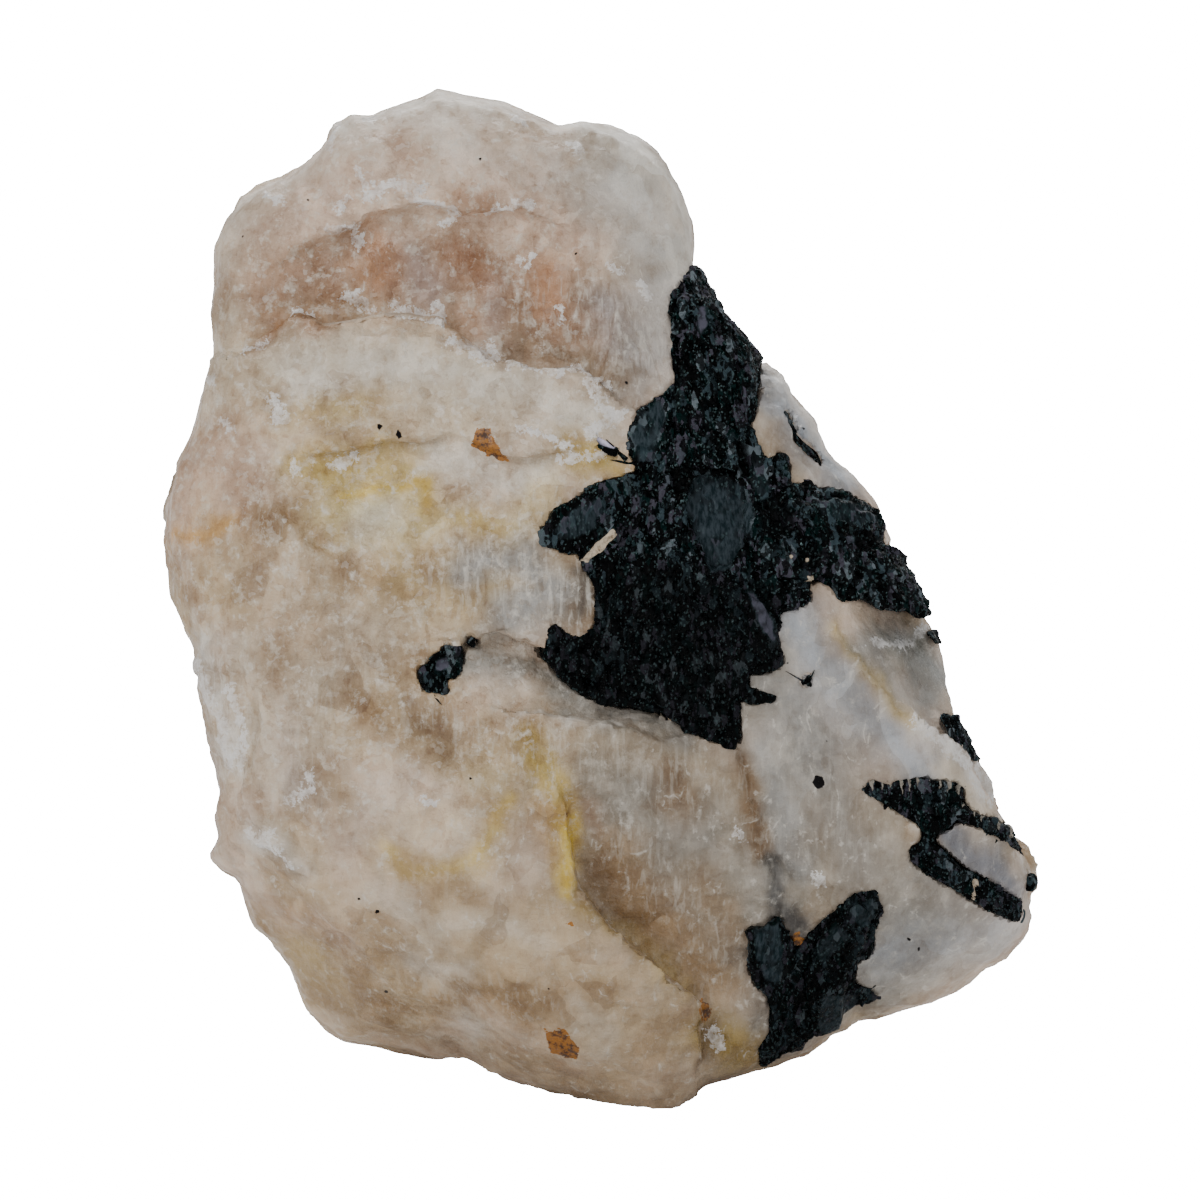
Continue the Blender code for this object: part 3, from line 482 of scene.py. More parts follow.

# How the milky colours, and some strokes of painted shade and painted highlight, lie on the face: colour,
# line on the sheet, breadth and strength, laid on in this order
TINTS = [
    (BROWN, [(27, 58), (31, 62), (28, 67)], 3.5, 0.7),
    (SHADOWED, [(66, 79), (70, 81), (68, 85)], 3.0, 0.7),
    (ROSE, [(27, 22), (35, 16), (44, 14), (54, 18), (57, 24)], 6.5, 0.95),
    # Painted shade: these two broad strokes darken the right half of the face, away from the light
    (HAZE_AND_SHADE, [(68, 60), (80, 74), (74, 92), (62, 80)], 8.0, 0.85),
    (HAZE_AND_SHADE, [(94, 86), (88, 98), (80, 104)], 8.0, 0.8),
    (GREY, [(61, 17), (66, 22), (67, 28), (65, 35)], 5.0, 0.8),
    # Painted highlight: these two bright strokes light up the rim along the top
    (BRIGHT, [(57, 11.6), (63, 14), (67.5, 20), (68.6, 27)], 2.2, 0.8),
    (BRIGHT, [(22, 22), (27, 18.6), (33, 12), (42, 9.4), (50, 10)], 3.2, 0.7),
    (COOL, [(60, 31), (62, 38)], 2.4, 0.75),
    (BRIGHT, [(39, 13.5), (48, 14.5), (58, 17)], 3.6, 0.4),
    (COOL_WHITE, [(61, 19), (65, 24)], 3.4, 0.7),
    (PALE, [(22, 22), (22, 31), (21, 40)], 2.6, 0.7),
    (BROWN_ROSE, [(27, 29), (36, 28), (46, 28), (54, 30), (57, 35)], 4.6, 0.95),
    (SHADOWED, [(52, 34), (58, 37), (62, 38)], 2.0, 0.8),
    (BROWN_ROSE, [(49, 28), (53, 31), (56, 34)], 3.0, 0.8),
    (SMOKE_AND_SHADE, [(50, 29), (55, 33)], 1.8, 0.25),
    (MAUVE, [(41, 25.5), (42.5, 30)], 1.8, 0.7),
    (MAUVE, [(49, 29), (50, 35)], 1.4, 0.5),
    (DEEP_ROSE, [(37.9, 24.8), (37.8, 27.8)], 1.9, 0.95),
    (DEEP_ROSE, [(45.8, 25.6), (47.6, 28.0)], 2.0, 0.65),
    (DEEP_ROSE, [(54.2, 28.0), (55.0, 31.0)], 1.8, 1.0),
    (DEEP_ROSE, [(26.8, 35.2), (28.0, 33.0)], 1.2, 0.9),
    (DEEP_ROSE, [(31.2, 33.2), (33.4, 33.4)], 1.3, 1.0),
    (DEEP_ROSE, [(46.2, 20.4), (48.4, 20.6)], 1.4, 0.6),
    (DEEP_ROSE, [(40.2, 14.6), (40.8, 16.4)], 1.1, 0.5),
    (DEEP_ROSE, [(46.6, 31.8), (47.4, 33.0)], 1.1, 0.5),
    (BROWN_ROSE, [(50.2, 34.0), (50.4, 36.6)], 1.0, 0.8),
    (PALE, [(26, 38), (33, 35.5), (41, 35.6), (47, 38), (55, 39.5), (60, 42)], 2.6, 0.95),
    (BRIGHT, [(30, 38.4), (38, 36.8), (47, 38.8), (54, 40.2), (59, 42)], 1.7, 0.45),
    (PALE, [(30, 40), (40, 41), (50, 42), (58, 43)], 2.2, 0.3),
    (SMOKE_AND_SHADE, [(50.2, 34.4), (50.5, 36.2)], 0.9, 0.5),
    (OLIVE, [(30, 42.6), (37, 40.6)], 1.8, 0.5),
    (ROSE, [(17, 53), (19, 47), (23, 45), (24, 50)], 3.6, 0.8),
    (BROWN_ROSE, [(18, 50), (21, 47), (24, 49)], 3.0, 0.3),
    (MILK, [(27.0, 38), (28.0, 43)], 1.6, 0.7),
    (OLIVE, [(30, 47.4), (36, 46.8), (40, 47.6)], 1.8, 0.85),
    (OLIVE, [(32, 45.6), (42, 44.8)], 1.0, 0.4),
    (CREAM, [(34, 52), (40, 51.2), (43, 51.6)], 3.2, 0.9),
    (BRIGHT, [(44, 45.6), (48, 46.6), (54, 48)], 2.2, 0.6),
    (COOL_WHITE, [(36, 52.6), (39.6, 51.6)], 1.6, 0.55),
    (CREAM, [(55, 50), (52, 53)], 2.4, 0.6),
    (OLIVE, [(47, 52.5), (50, 53.5)], 1.9, 0.95),
    (YELLOW, [(34.4, 49.3), (38.5, 49.7), (41.1, 48.7), (43.2, 48.9), (43.6, 50.8)], 0.75, 0.75),
    (YELLOW, [(58.6, 45.0), (60.6, 47.0), (62.8, 48.2)], 1.1, 0.5),
    (OLIVE, [(56.8, 44.6), (60.4, 47.2)], 1.6, 0.85),
    (TAN, [(16.5, 54.6), (19, 53.8), (23.4, 52.6)], 1.0, 0.8),
    (BROWN, [(26.8, 51.6), (29.0, 52.6)], 2.1, 0.95),
    (MILK, [(30, 58), (40, 60), (48, 58)], 5.0, 0.6),
    (OLIVE, [(42, 57), (48, 60)], 3.8, 0.5),
    (BROWN, [(33, 65), (36, 64)], 4.2, 0.5),
    (BROWN, [(47.4, 58.6), (48.4, 61.4)], 1.3, 0.5),
    (BROWN, [(42.6, 56.6), (43.4, 58.6)], 1.4, 0.75),
    (BROWN, [(35.8, 56.8), (38.0, 58.0)], 1.6, 0.4),
    (PALE, [(24, 57), (30, 60), (40, 62), (46, 63)], 2.0, 0.15),
    (GREY, [(47, 57), (53, 56), (56, 60), (50, 62)], 2.2, 0.95),
    (SOOT, [(57.8, 57.4), (58.6, 61.4)], 1.2, 0.7),
    (HAZE_AND_SHADE, [(47, 65.6), (53, 66.6), (58, 70.2), (66, 72.2), (69, 74)], 1.9, 0.95),
    (COOL_WHITE, [(51.8, 70.7), (58.8, 71.7), (63.5, 72.3)], 0.35, 0.7),
    (PALE, [(36, 65), (32, 69), (30, 73)], 3.6, 0.6),
    (COOL_WHITE, [(20.4, 65), (22.4, 71), (24.2, 77)], 1.7, 0.8),
    (PALE, [(24.6, 64.6), (26.8, 70), (26.6, 75)], 1.6, 0.6),
    (BROWN, [(36.0, 68.4), (37.6, 72.0)], 1.6, 0.75),
    (SMOKE_AND_SHADE, [(41.8, 70.0), (42.6, 72.8)], 1.3, 0.85),
    (SMOKE_AND_SHADE, [(43.4, 72.4), (44.8, 75.8)], 1.5, 0.8),
    (COOL_WHITE, [(29.2, 78.2), (31.2, 77.8)], 1.6, 0.6),
    (MAUVE, [(30.4, 80.4), (35.0, 83.6), (28.6, 74.0)], 2.6, 0.4),
    (COOL_WHITE, [(25.4, 82.6), (27.6, 84.2), (30.0, 87.0)], 1.4, 0.7),
    (CREAM, [(42.4, 82.6), (46.4, 81.4), (49.6, 76.6)], 3.0, 0.2),
    (YELLOW, [(38.8, 85.0), (41.5, 87.0), (45.4, 87.0), (47.6, 85.4), (49.4, 83.0), (51.2, 80.2)], 0.9, 0.5),
    (OLIVE, [(38.8, 85.6), (42.4, 87.6), (47.4, 86.6), (50.4, 82.4)], 1.7, 0.45),
    (OLIVE, [(52.6, 73.4), (54.8, 77.0), (56.2, 80.0)], 1.2, 0.95),
    (SMOKE_AND_SHADE, [(51.2, 87.2), (52.0, 91.6)], 1.8, 0.6),
    (TAN, [(55.0, 80.6), (55.6, 84.0)], 1.6, 0.35),
    (YELLOW, [(56.8, 81.8), (56.2, 84.8), (57.0, 88.6)], 0.95, 0.95),
    (BROWN_ROSE, [(58.6, 80.6), (59.4, 83.0)], 1.2, 0.5),
    (MILK, [(36, 92), (46, 94), (56, 98), (64, 103)], 6.0, 0.8),
    (OLIVE, [(58.6, 90.0), (62, 92.8), (66.5, 96.4), (69.6, 99.4)], 0.9, 0.65),
    (COOL_WHITE, [(38.2, 89.4), (43.2, 92.8), (49.2, 91.4), (53.4, 93.4)], 1.6, 0.3),
    (COOL_WHITE, [(41.2, 95.6), (46.4, 97.4), (47.2, 103.4)], 1.5, 0.45),
    (COOL_WHITE, [(57.8, 100.4), (60.4, 103.6)], 1.9, 0.3),
    (BROWN, [(36.6, 98.0), (38.6, 101.2)], 1.8, 0.65),
    (BROWN, [(45.4, 99.4), (50.6, 98.4), (52.4, 101.4)], 1.7, 0.8),
    (BROWN_ROSE, [(28.4, 90.8), (34.2, 93.6)], 1.9, 0.55),
    (BROWN, [(37.4, 91.6), (38.8, 94.4)], 1.3, 0.45),
    (OLIVE, [(30.2, 95.6), (32.4, 99.6)], 1.9, 0.4),
    (SHADOWED, [(31, 102.6), (42, 105.2), (54, 108.6), (66, 111)], 2.6, 0.7),
    # Painted shade in the valley along the diagonal edge
    (SMOKE_AND_SHADE, [(60.4, 85.8), (61.6, 90.0), (65.4, 93.6)], 2.5, 0.85),
    (BROWN, [(62.0, 86.4), (68.0, 93.0), (71.6, 98.4)], 2.8, 0.75),
    (HAZE_AND_SHADE, [(70.6, 78.0), (71.2, 84.0)], 1.6, 0.5),
    (SHADOWED, [(70, 88), (73, 93)], 2.2, 0.95),
    (SMOKE_AND_SHADE, [(66.8, 77.0), (68.8, 78.6), (67.4, 80.4)], 1.9, 0.8),
    # Painted shade in the upright crease
    (SMOKE_AND_SHADE, [(73.4, 75.8), (75.0, 80.4), (76.4, 85.2)], 1.4, 1.0),
    (GREY, [(76.2, 74.6), (77.6, 80.0), (79.4, 87.0)], 1.2, 0.75),
    (GREY, [(80, 73), (83, 79), (86, 86)], 3.2, 0.6),
    (COOL, [(79, 62), (82, 67), (87, 72), (92, 77)], 2.6, 0.85),
    (GREY, [(75.8, 68.6), (79.2, 70.4)], 1.5, 0.7),
    (OLIVE, [(83.6, 62.4), (86.0, 66.8), (89.2, 70.2), (91.2, 71.8)], 0.9, 0.7),
    (COOL_DARK, [(88.0, 63.6), (91.4, 65.2), (94.0, 68.4)], 2.4, 0.8),
    (COOL_DARK, [(86.0, 65.0), (89.4, 68.4), (92.4, 70.0)], 1.4, 0.4),
    (COOL_WHITE, [(91.4, 72.2), (94.3, 74.4), (97.6, 77.4), (100.2, 81.6)], 0.9, 0.85),
    (PALE, [(94.6, 77.0), (98.0, 80.6)], 1.4, 0.9),
    (HAZE_AND_SHADE, [(84.6, 90.0), (88.6, 91.6), (92.4, 90.0)], 2.8, 0.3),
    (COOL, [(88.6, 95.4), (94.2, 94.6), (100.4, 93.4)], 3.0, 0.65),
    (COOL_WHITE, [(89.4, 99.0), (95.6, 97.4), (101.4, 93.6)], 1.8, 0.35),
    (TAN, [(89.0, 101.6), (94.0, 100.4), (99.0, 97.4)], 1.0, 0.4),
    (TAN, [(91.4, 83.0), (92.2, 83.8)], 1.5, 0.6),
    (BRIGHT, [(91.5, 83.1), (92.0, 83.7)], 0.8, 0.9),
    (LILAC, [(94.4, 83.6), (98.4, 86.0), (101.0, 88.6)], 1.9, 0.95),
    (SOOT, [(77.8, 86.4), (78.4, 89.6), (79.6, 92.8)], 1.2, 0.8),
    (SOOT, [(77.6, 89.0), (78.6, 92.2)], 0.85, 0.75),
    (SOOT, [(79.6, 91.2), (80.2, 93.2)], 0.7, 0.55),
    (OLIVE, [(70.4, 103.4), (74.2, 105.4)], 2.2, 1.0),
    (SMOKE_AND_SHADE, [(70.4, 103.4), (74.2, 105.4)], 2.0, 0.3),
    (SMOKE_AND_SHADE, [(70.0, 106.4), (71.2, 102.4)], 0.8, 0.8),
    (SOOT, [(75.4, 99.6), (75.8, 102.6)], 1.1, 0.45),
    (COOL, [(76.6, 37.4), (79.4, 42.8), (84.0, 47.6)], 2.8, 1.0),
    (COOL_WHITE, [(77.4, 36.8), (81.4, 41.6), (85.4, 46.4)], 1.2, 0.8),
]

# Stains of the sides and the back, laid on in this order: colour, breadth in millimetres, seed of the
# noise, where it starts and is full, and strength
BACK_STAINS = [
    (BROWN_ROSE, 14.0, 66, 0.1, 0.9, 0.8),
    (OLIVE, 11.0, 70, 0.6, 1.1, 0.5),
    (COOL_WHITE, 9.0, 75, 0.2, 0.9, 0.8),
    (HAZE_AND_SHADE, 12.0, 78, 0.45, 1.0, 0.6),
]


def laid_over(under, over, cover):
    """One colour laid over another by a share for each point."""
    return under + (over - under) * cover[:, None]


ground = np.tile(MILK, (len(quartz_places), 1))
clouded = smooth_step(-0.5, 0.6, rough_noise(quartz_places, 13.0, 3, 60))
ground = laid_over(ground, 0.55 * ROSE + 0.45 * PALE, clouded)

# Milky veils lighten the colour and clear holes between them darken it, in big clouds and fine wisps
drift = np.stack([soft_noise(quartz_places, 6.0, 80 + axis) for axis in range(3)], axis=1)
drifted = quartz_places + drift * 1.6 * MM
veils = rough_noise(drifted * (1.0, 1.0, 0.75), 4.6, 4, 84)
wisps = rough_noise(drifted * (1.0, 1.0, 0.8), 2.3, 2, 95)
milky_veil = smooth_step(0.05, 0.75, veils) + 0.55 * smooth_step(0.25, 0.9, wisps)
clear_hole = smooth_step(-0.10, -0.80, veils) + 0.5 * smooth_step(-0.25, -0.9, wisps)
milky_veil = np.clip(milky_veil, 0.0, 1.0) * 0.85
clear_hole = np.clip(clear_hole, 0.0, 1.0) * 0.85


def veiled(colours, hole_colour):
    """Colours lightened by the milky veils and multiplied in the clear holes."""
    colours = laid_over(colours, colours * 1.26 + 0.03, milky_veil)
    return laid_over(colours, colours * hole_colour, clear_hole)


face_side = ground
for colour, line, breadth, strength in TINTS:
    face_side = laid_over(face_side, colour, stroke(brush_x, brush_y, line, breadth) * strength)
greyer = smooth_step(58.0, 78.0, brush_x) * smooth_step(36.0, 50.0, brush_y)
face_side = veiled(face_side, np.array((0.80, 0.735, 0.67)) + greyer[:, None] * (0.01, 0.05, 0.10))

back_side = ground
for colour, breadth, seed, starts, full, strength in BACK_STAINS:
    stained = smooth_step(starts, full, rough_noise(drifted, breadth, 3, seed)) * strength
    back_side = laid_over(back_side, colour, stained)
plate_edge = np.exp(-((back_swells - np.floor(back_swells) - 0.9) / 0.12) ** 2) * broken_back
back_side = laid_over(back_side, BRIGHT, plate_edge * 0.55)
back_side = veiled(back_side, np.array((0.80, 0.72, 0.64)))

colours = np.ones((len(quartz_places), 4), dtype=np.float32)
colours[:, :3] = laid_over(back_side, face_side, face_share)
tint_layer = quartz_mesh.attributes.new("tint", "FLOAT_COLOR", "POINT")
tint_layer.data.foreach_set("color", colours.ravel())

# Where the quartz is glassy instead of milky, and where it is combed by fine upright veils: line,
# breadth and strength
GLASSY = [
    ([(37.9, 24.8), (37.8, 27.8)], 2.2, 1.0), ([(45.8, 25.6), (47.6, 28.0)], 2.2, 0.9),
    ([(54.2, 28.0), (55.0, 31.0)], 1.6, 0.7), ([(26.8, 35.2), (28.0, 33.0)], 1.4, 0.9),
    ([(31.2, 33.2), (33.4, 33.4)], 1.4, 0.9), ([(57.8, 57.4), (58.6, 61.0)], 1.5, 0.8),
    ([(88.0, 63.6), (91.4, 65.2), (94.0, 68.4)], 2.2, 0.9), ([(47, 66), (58, 70)], 2.0, 0.5),
    ([(43.4, 72.4), (44.8, 75.8)], 1.5, 0.5), ([(60.4, 85.8), (65.4, 93.6)], 2.4, 0.5),
    ([(94.4, 83.6), (101.0, 88.6)], 1.6, 0.6), ([(70.4, 103.6), (73.6, 105.8)], 1.7, 0.7),
]
COMBED = [
    ([(46, 57), (58, 60)], 4.0, 1.0), ([(44, 72), (52, 74), (60, 76), (70, 78)], 4.5, 0.55),
    ([(58, 30), (64, 36)], 4.0, 0.9), ([(80, 74), (84, 84), (78, 84)], 5.0, 0.35),
    ([(35, 66), (30, 76)], 4.0, 0.4), ([(22, 66), (24, 77)], 2.0, 1.0), ([(28, 52), (30, 56)], 3.0, 0.5),
    ([(62, 82), (72, 96)], 4.0, 0.6), ([(50, 30), (57, 33)], 3.0, 0.5), ([(42, 100), (54, 100)], 4.0, 0.5),
]

# Iron oxide that fills small hollows, as outlines on the sheet
RUST_PATCHES = [
    [(47.8, 43.2), (49.2, 43.2), (49.5, 44.3), (50.0, 45.0), (51.0, 46.1), (50.2, 46.2), (48.8, 45.6),
     (47.3, 44.7)],
    [(54.3, 102.4), (55.2, 102.9), (56.2, 102.4), (56.7, 102.9), (56.9, 103.4), (58.0, 104.4),
     (57.8, 105.6), (57.1, 105.6), (55.7, 105.1), (54.9, 104.9), (54.9, 103.9)],
    [(70.2, 99.6), (71.0, 100.2), (71.2, 101.6), (70.7, 102.2), (69.8, 101.0)],
    [(78.8, 93.2), (79.8, 93.0), (80.6, 94.0), (79.8, 94.8)],
    [(56.9, 80.8), (57.2, 80.9), (57.1, 81.5), (56.8, 81.4)],
    [(56.8, 91.8), (57.4, 91.7), (57.5, 92.1), (56.9, 92.2)],
    [(59.8, 48.4), (60.3, 48.4), (60.4, 49.2), (59.9, 49.0)],
    [(62.3, 47.6), (62.8, 47.7), (62.6, 48.2)],
]

# Specks of black: sheet x, sheet y and radius
BLACK_SPECKS = [
    (38.4, 43.0, 0.28), (40.2, 43.6, 0.3), (48.2, 16.5, 0.15), (57.7, 25.9, 0.15), (36.1, 89.8, 0.14),
    (37.9, 90.9, 0.16), (38.6, 99.2, 0.18), (54.8, 98.6, 0.18), (81.6, 78.0, 0.55), (82.3, 74.1, 0.14),
    (88.1, 80.6, 0.24), (90.8, 94.0, 0.16), (91.8, 94.8, 0.16), (74.6, 88.7, 0.16), (80.1, 43.0, 0.15),
    (86.3, 44.4, 0.12), (24.5, 24.0, 0.12), (31.2, 20.4, 0.14), (47.2, 77.6, 0.1), (62.5, 38.5, 0.14),
]


def laid(strokes):
    """The strongest that any of some strokes reaches each point of the face."""
    return strongest(stroke(brush_x, brush_y, line, breadth) * strength
                     for line, breadth, strength in strokes)


def specks():
    """How black each point is with specks."""
    for speck_x, speck_y, radius in BLACK_SPECKS:
        distance = np.hypot(sheet_x - speck_x, sheet_y - speck_y)
        yield smooth_step(radius + 0.25, radius - 0.25, distance)


crisp = np.maximum(smooth_step(74.0, 50.0, brush_x) * smooth_step(100.0, 70.0, brush_y), 0.25)
combed = np.maximum(laid(COMBED), 0.15)
flaked = strongest(smooth_step(breadth + 0.7, 0.0, line_distance(line_x, line_y, line))
                   for line, breadth in FLAKES)
rusted = strongest(covers_of(sheet_x + wander_x * 0.1, sheet_y + wander_y * 0.1, RUST_PATCHES, 0.5))
painted(crisp * face_share + 0.4 * (1 - face_share), "crisp", quartz_mesh)
painted(laid(GLASSY) * face_share, "glassy", quartz_mesh)
painted(combed * face_share + 0.3 * (1 - face_share), "combed", quartz_mesh)
painted(flaked * face_share, "flaked", quartz_mesh)
painted(rusted * face_share, "rusted", quartz_mesh)
painted(strongest(specks()) * face_share, "specked", quartz_mesh)

quartz = bpy.data.objects.new("rose_quartz_stone", quartz_mesh)
bpy.context.collection.objects.link(quartz)
for polygon in quartz_mesh.polygons:
    polygon.use_smooth = True
quartz_mesh.set_sharp_from_angle(angle=SHARP_FROM)


class NodeBoard:
    """A short way to lay out and wire the nodes of one material."""

    def __init__(self, name):
        self.material = bpy.data.materials.new(name)
        self.material.use_nodes = True
        self.tree = self.material.node_tree
        self.shader = self.tree.nodes["Principled BSDF"]

    def wire(self, value, socket):
        """Links a node's output to a socket, or sets the socket to a plain value."""
        if isinstance(value, bpy.types.NodeSocket):
            self.tree.links.new(value, socket)
        else:
            socket.default_value = value

    def add(self, kind, inputs):
        """A new node whose inputs, each given by its name or number, are wired or set."""
        node = self.tree.nodes.new(f"ShaderNode{kind}")
        for socket, value in inputs.items():
            self.wire(value, node.inputs[socket])
        return node

    def attribute(self, name, output="Fac"):
        """A number or a colour that is stored for each vertex."""
        node = self.add("Attribute", {})
        node.attribute_name = name
        return node.outputs[output]

    def place(self, stretch=(1.0, 1.0, 1.0), turn=(0.0, 0.0, 0.0)):
        """The place on the object in millimetres, stretched and turned for a grain."""
        here = self.add("TexCoord", {}).outputs["Object"]
        scale = [part / MM for part in stretch]
        return self.add("Mapping", {"Vector": here, "Rotation": turn, "Scale": scale}).outputs["Vector"]

    def clouds(self, place, size, detail, roughness=0.5, distortion=0.0):
        """Noise whose swells are a number of millimetres across."""
        node = self.add("TexNoise", {"Vector": place, "Scale": 1.0 / size, "Detail": detail,
                                     "Roughness": roughness, "Distortion": distortion})
        return node.outputs["Fac"]

    def warped(self, place, size, amount):
        """The place pushed about by noise, so that a pattern of cells gets crooked edges."""
        push = self.add("TexNoise", {"Vector": place, "Scale": 1.0 / size, "Detail": 1.0})
        move = self.add("VectorMath", {})
        move.operation = "MULTIPLY_ADD"
        self.wire(push.outputs["Color"], move.inputs[0])
        self.wire((amount, amount, amount), move.inputs[1])
        self.wire(place, move.inputs[2])
        return move.outputs["Vector"]

    def facets(self, place, *outputs):
        """Flat broken faces: those of their height, tone and second tone that are asked for."""
        node = self.add("Group", {})
        node.node_tree = broken_facets
        self.wire(place, node.inputs["Place"])
        return [node.outputs[output] for output in outputs]

    def between(self, value, low, high, out_low=0.0, out_high=1.0):
        """The value spread from one range to another, and held at its ends."""
        node = self.add("MapRange", {})
        node.interpolation_type = "SMOOTHSTEP"
        self.wire(value, node.inputs["Value"])
        self.wire(low, node.inputs["From Min"])
        self.wire(high, node.inputs["From Max"])
        self.wire(out_low, node.inputs["To Min"])
        self.wire(out_high, node.inputs["To Max"])
        return node.outputs["Result"]

    def combine(self, operation, first, second=0.0):
        """Two numbers added, taken away or multiplied, or the size of one."""
        node = self.add("Math", {0: first, 1: second})
        node.operation = operation
        return node.outputs["Value"]

    def times(self, first, second):
        """Two numbers multiplied."""
        return self.combine("MULTIPLY", first, second)

    def blend(self, share, under, over, kind="MIX"):
        """One colour laid over another by a share."""
        node = self.add("Mix", {})
        node.data_type = "RGBA"
        node.blend_type = kind
        self.wire(share, node.inputs["Factor"])
        self.wire(under, node.inputs[6])
        self.wire(over, node.inputs[7])
        return node.outputs[2]

    def uneven(self, layers):
        """The surface with layers of relief: height, strength and depth in millimetres of each."""
        normal = None
        for height, strength, depth in layers:
            bump = self.add("Bump", {"Height": height, "Strength": strength, "Distance": depth * MM})
            if normal is not None:
                self.wire(normal, bump.inputs["Normal"])
            normal = bump.outputs["Normal"]
        self.wire(normal, self.shader.inputs["Normal"])


def facet_group():
    """Flat little broken faces: a height that tilts each cell its own way, and two tones per cell."""
    group = bpy.data.node_groups.new("broken_facets", "ShaderNodeTree")
    group.interface.new_socket("Place", in_out="INPUT", socket_type="NodeSocketVector")
    for output in ("Height", "Tone", "Second Tone"):
        group.interface.new_socket(output, in_out="OUTPUT", socket_type="NodeSocketFloat")
    entry = group.nodes.new("NodeGroupInput")
    leave = group.nodes.new("NodeGroupOutput")
    cells = group.nodes.new("ShaderNodeTexVoronoi")
    cells.inputs["Scale"].default_value = 1.0
    from_centre = group.nodes.new("ShaderNodeVectorMath")
    from_centre.operation = "SUBTRACT"
    lean_way = group.nodes.new("ShaderNodeVectorMath")
    lean_way.operation = "SUBTRACT"
    lean_way.inputs[1].default_value = (0.5, 0.5, 0.5)
    tilted = group.nodes.new("ShaderNodeVectorMath")
    tilted.operation = "DOT_PRODUCT"
    split = group.nodes.new("ShaderNodeSeparateColor")
    for output, socket in (
            (entry.outputs["Place"], cells.inputs["Vector"]),
            (entry.outputs["Place"], from_centre.inputs[0]),
            (cells.outputs["Position"], from_centre.inputs[1]),
            (cells.outputs["Color"], lean_way.inputs[0]),
            (from_centre.outputs["Vector"], tilted.inputs[0]),
            (lean_way.outputs["Vector"], tilted.inputs[1]),
            (cells.outputs["Color"], split.inputs["Color"]),
            (tilted.outputs["Value"], leave.inputs["Height"]),
            (split.outputs["Red"], leave.inputs["Tone"]),
            (split.outputs["Green"], leave.inputs["Second Tone"])):
        group.links.new(output, socket)
    return group


broken_facets = facet_group()

LIT_SHARD = (0.80, 0.76, 0.70, 1.0)
SHADED_SHARD = (0.76, 0.69, 0.62, 1.0)
WHITE_SPOT = (0.74, 0.68, 0.58, 1.0)
CLEAR_SPOT = (0.71, 0.63, 0.56, 1.0)
WHITE_COMB = (0.78, 0.735, 0.65, 1.0)
CLEAR_COMB = (0.68, 0.60, 0.52, 1.0)
WHITE_WISP = (0.82, 0.78, 0.71, 1.0)
WHITE_CRUMB_GLINT = (0.84, 0.81, 0.76, 1.0)
CLEAR_CRUMB = (0.80, 0.70, 0.61, 1.0)
WHITE_FLAKE = (0.84, 0.82, 0.80, 1.0)
DARK_RUST = (0.060, 0.020, 0.004, 1.0)
BRIGHT_RUST = (0.37, 0.140, 0.012, 1.0)
BLACK_SPECK = (0.012, 0.011, 0.012, 1.0)
QUARTZ_IOR = 1.544

stone = NodeBoard("rose_quartz")
everywhere = stone.place()
glass = stone.attribute("glassy")
milky = stone.combine("SUBTRACT", 1.0, glass)
crisp_share = stone.attribute("crisp")
colour = stone.attribute("tint", "Color")

# Shards: large broken faces, some painted lighter as if lit and some painted darker as if in shade
shard_place = stone.warped(stone.place(stretch=(0.30, 0.30, 0.24)), 0.8, 0.9)
shard_height, shard_tone = stone.facets(shard_place, "Height", "Tone")
colour = stone.blend(stone.between(shard_tone, 0.55, 1.0, 0.0, 0.30), colour, LIT_SHARD, "SOFT_LIGHT")
colour = stone.blend(stone.between(shard_tone, 0.45, 0.0, 0.0, 0.55), colour, SHADED_SHARD, "MULTIPLY")

# Spots of white and of clear quartz, crispest at the upper left
mottle = stone.clouds(everywhere, 1.5, 4.0, 0.72)
white_spots = stone.between(mottle, 0.50, 0.66)
clear_spots = stone.between(mottle, 0.47, 0.30)
white_strength = stone.times(milky, stone.between(crisp_share, 0.0, 1.0, 0.12, 0.42))
clear_strength = stone.between(crisp_share, 0.0, 1.0, 0.42, 0.75)
colour = stone.blend(stone.times(white_spots, white_strength), colour, WHITE_SPOT)
colour = stone.blend(stone.times(clear_spots, clear_strength), colour, CLEAR_SPOT, "MULTIPLY")

# The comb of fine upright veils, and thin white wisps that wander
comb_place = stone.place(stretch=(1.0, 1.0, 0.17), turn=(LOOK_DOWN, 0.0, 0.0))
comb = stone.clouds(comb_place, 0.62, 2.0, 0.66, 0.4)
combed = stone.attribute("combed")
white_comb = stone.times(stone.between(comb, 0.51, 0.66), combed)
clear_comb = stone.times(stone.between(comb, 0.48, 0.33), combed)
colour = stone.blend(stone.times(white_comb, 0.42), colour, WHITE_COMB)
colour = stone.blend(stone.times(clear_comb, 0.75), colour, CLEAR_COMB, "MULTIPLY")
wisp_noise = stone.clouds(stone.place(stretch=(1.0, 1.0, 0.6)), 3.4, 2.0, 0.55, 1.0)
from_wisp = stone.combine("ABSOLUTE", stone.combine("SUBTRACT", wisp_noise, 0.5))
wisp = stone.times(stone.between(from_wisp, 0.028, 0.004), stone.times(white_spots, 0.40))
colour = stone.blend(wisp, colour, WHITE_WISP)

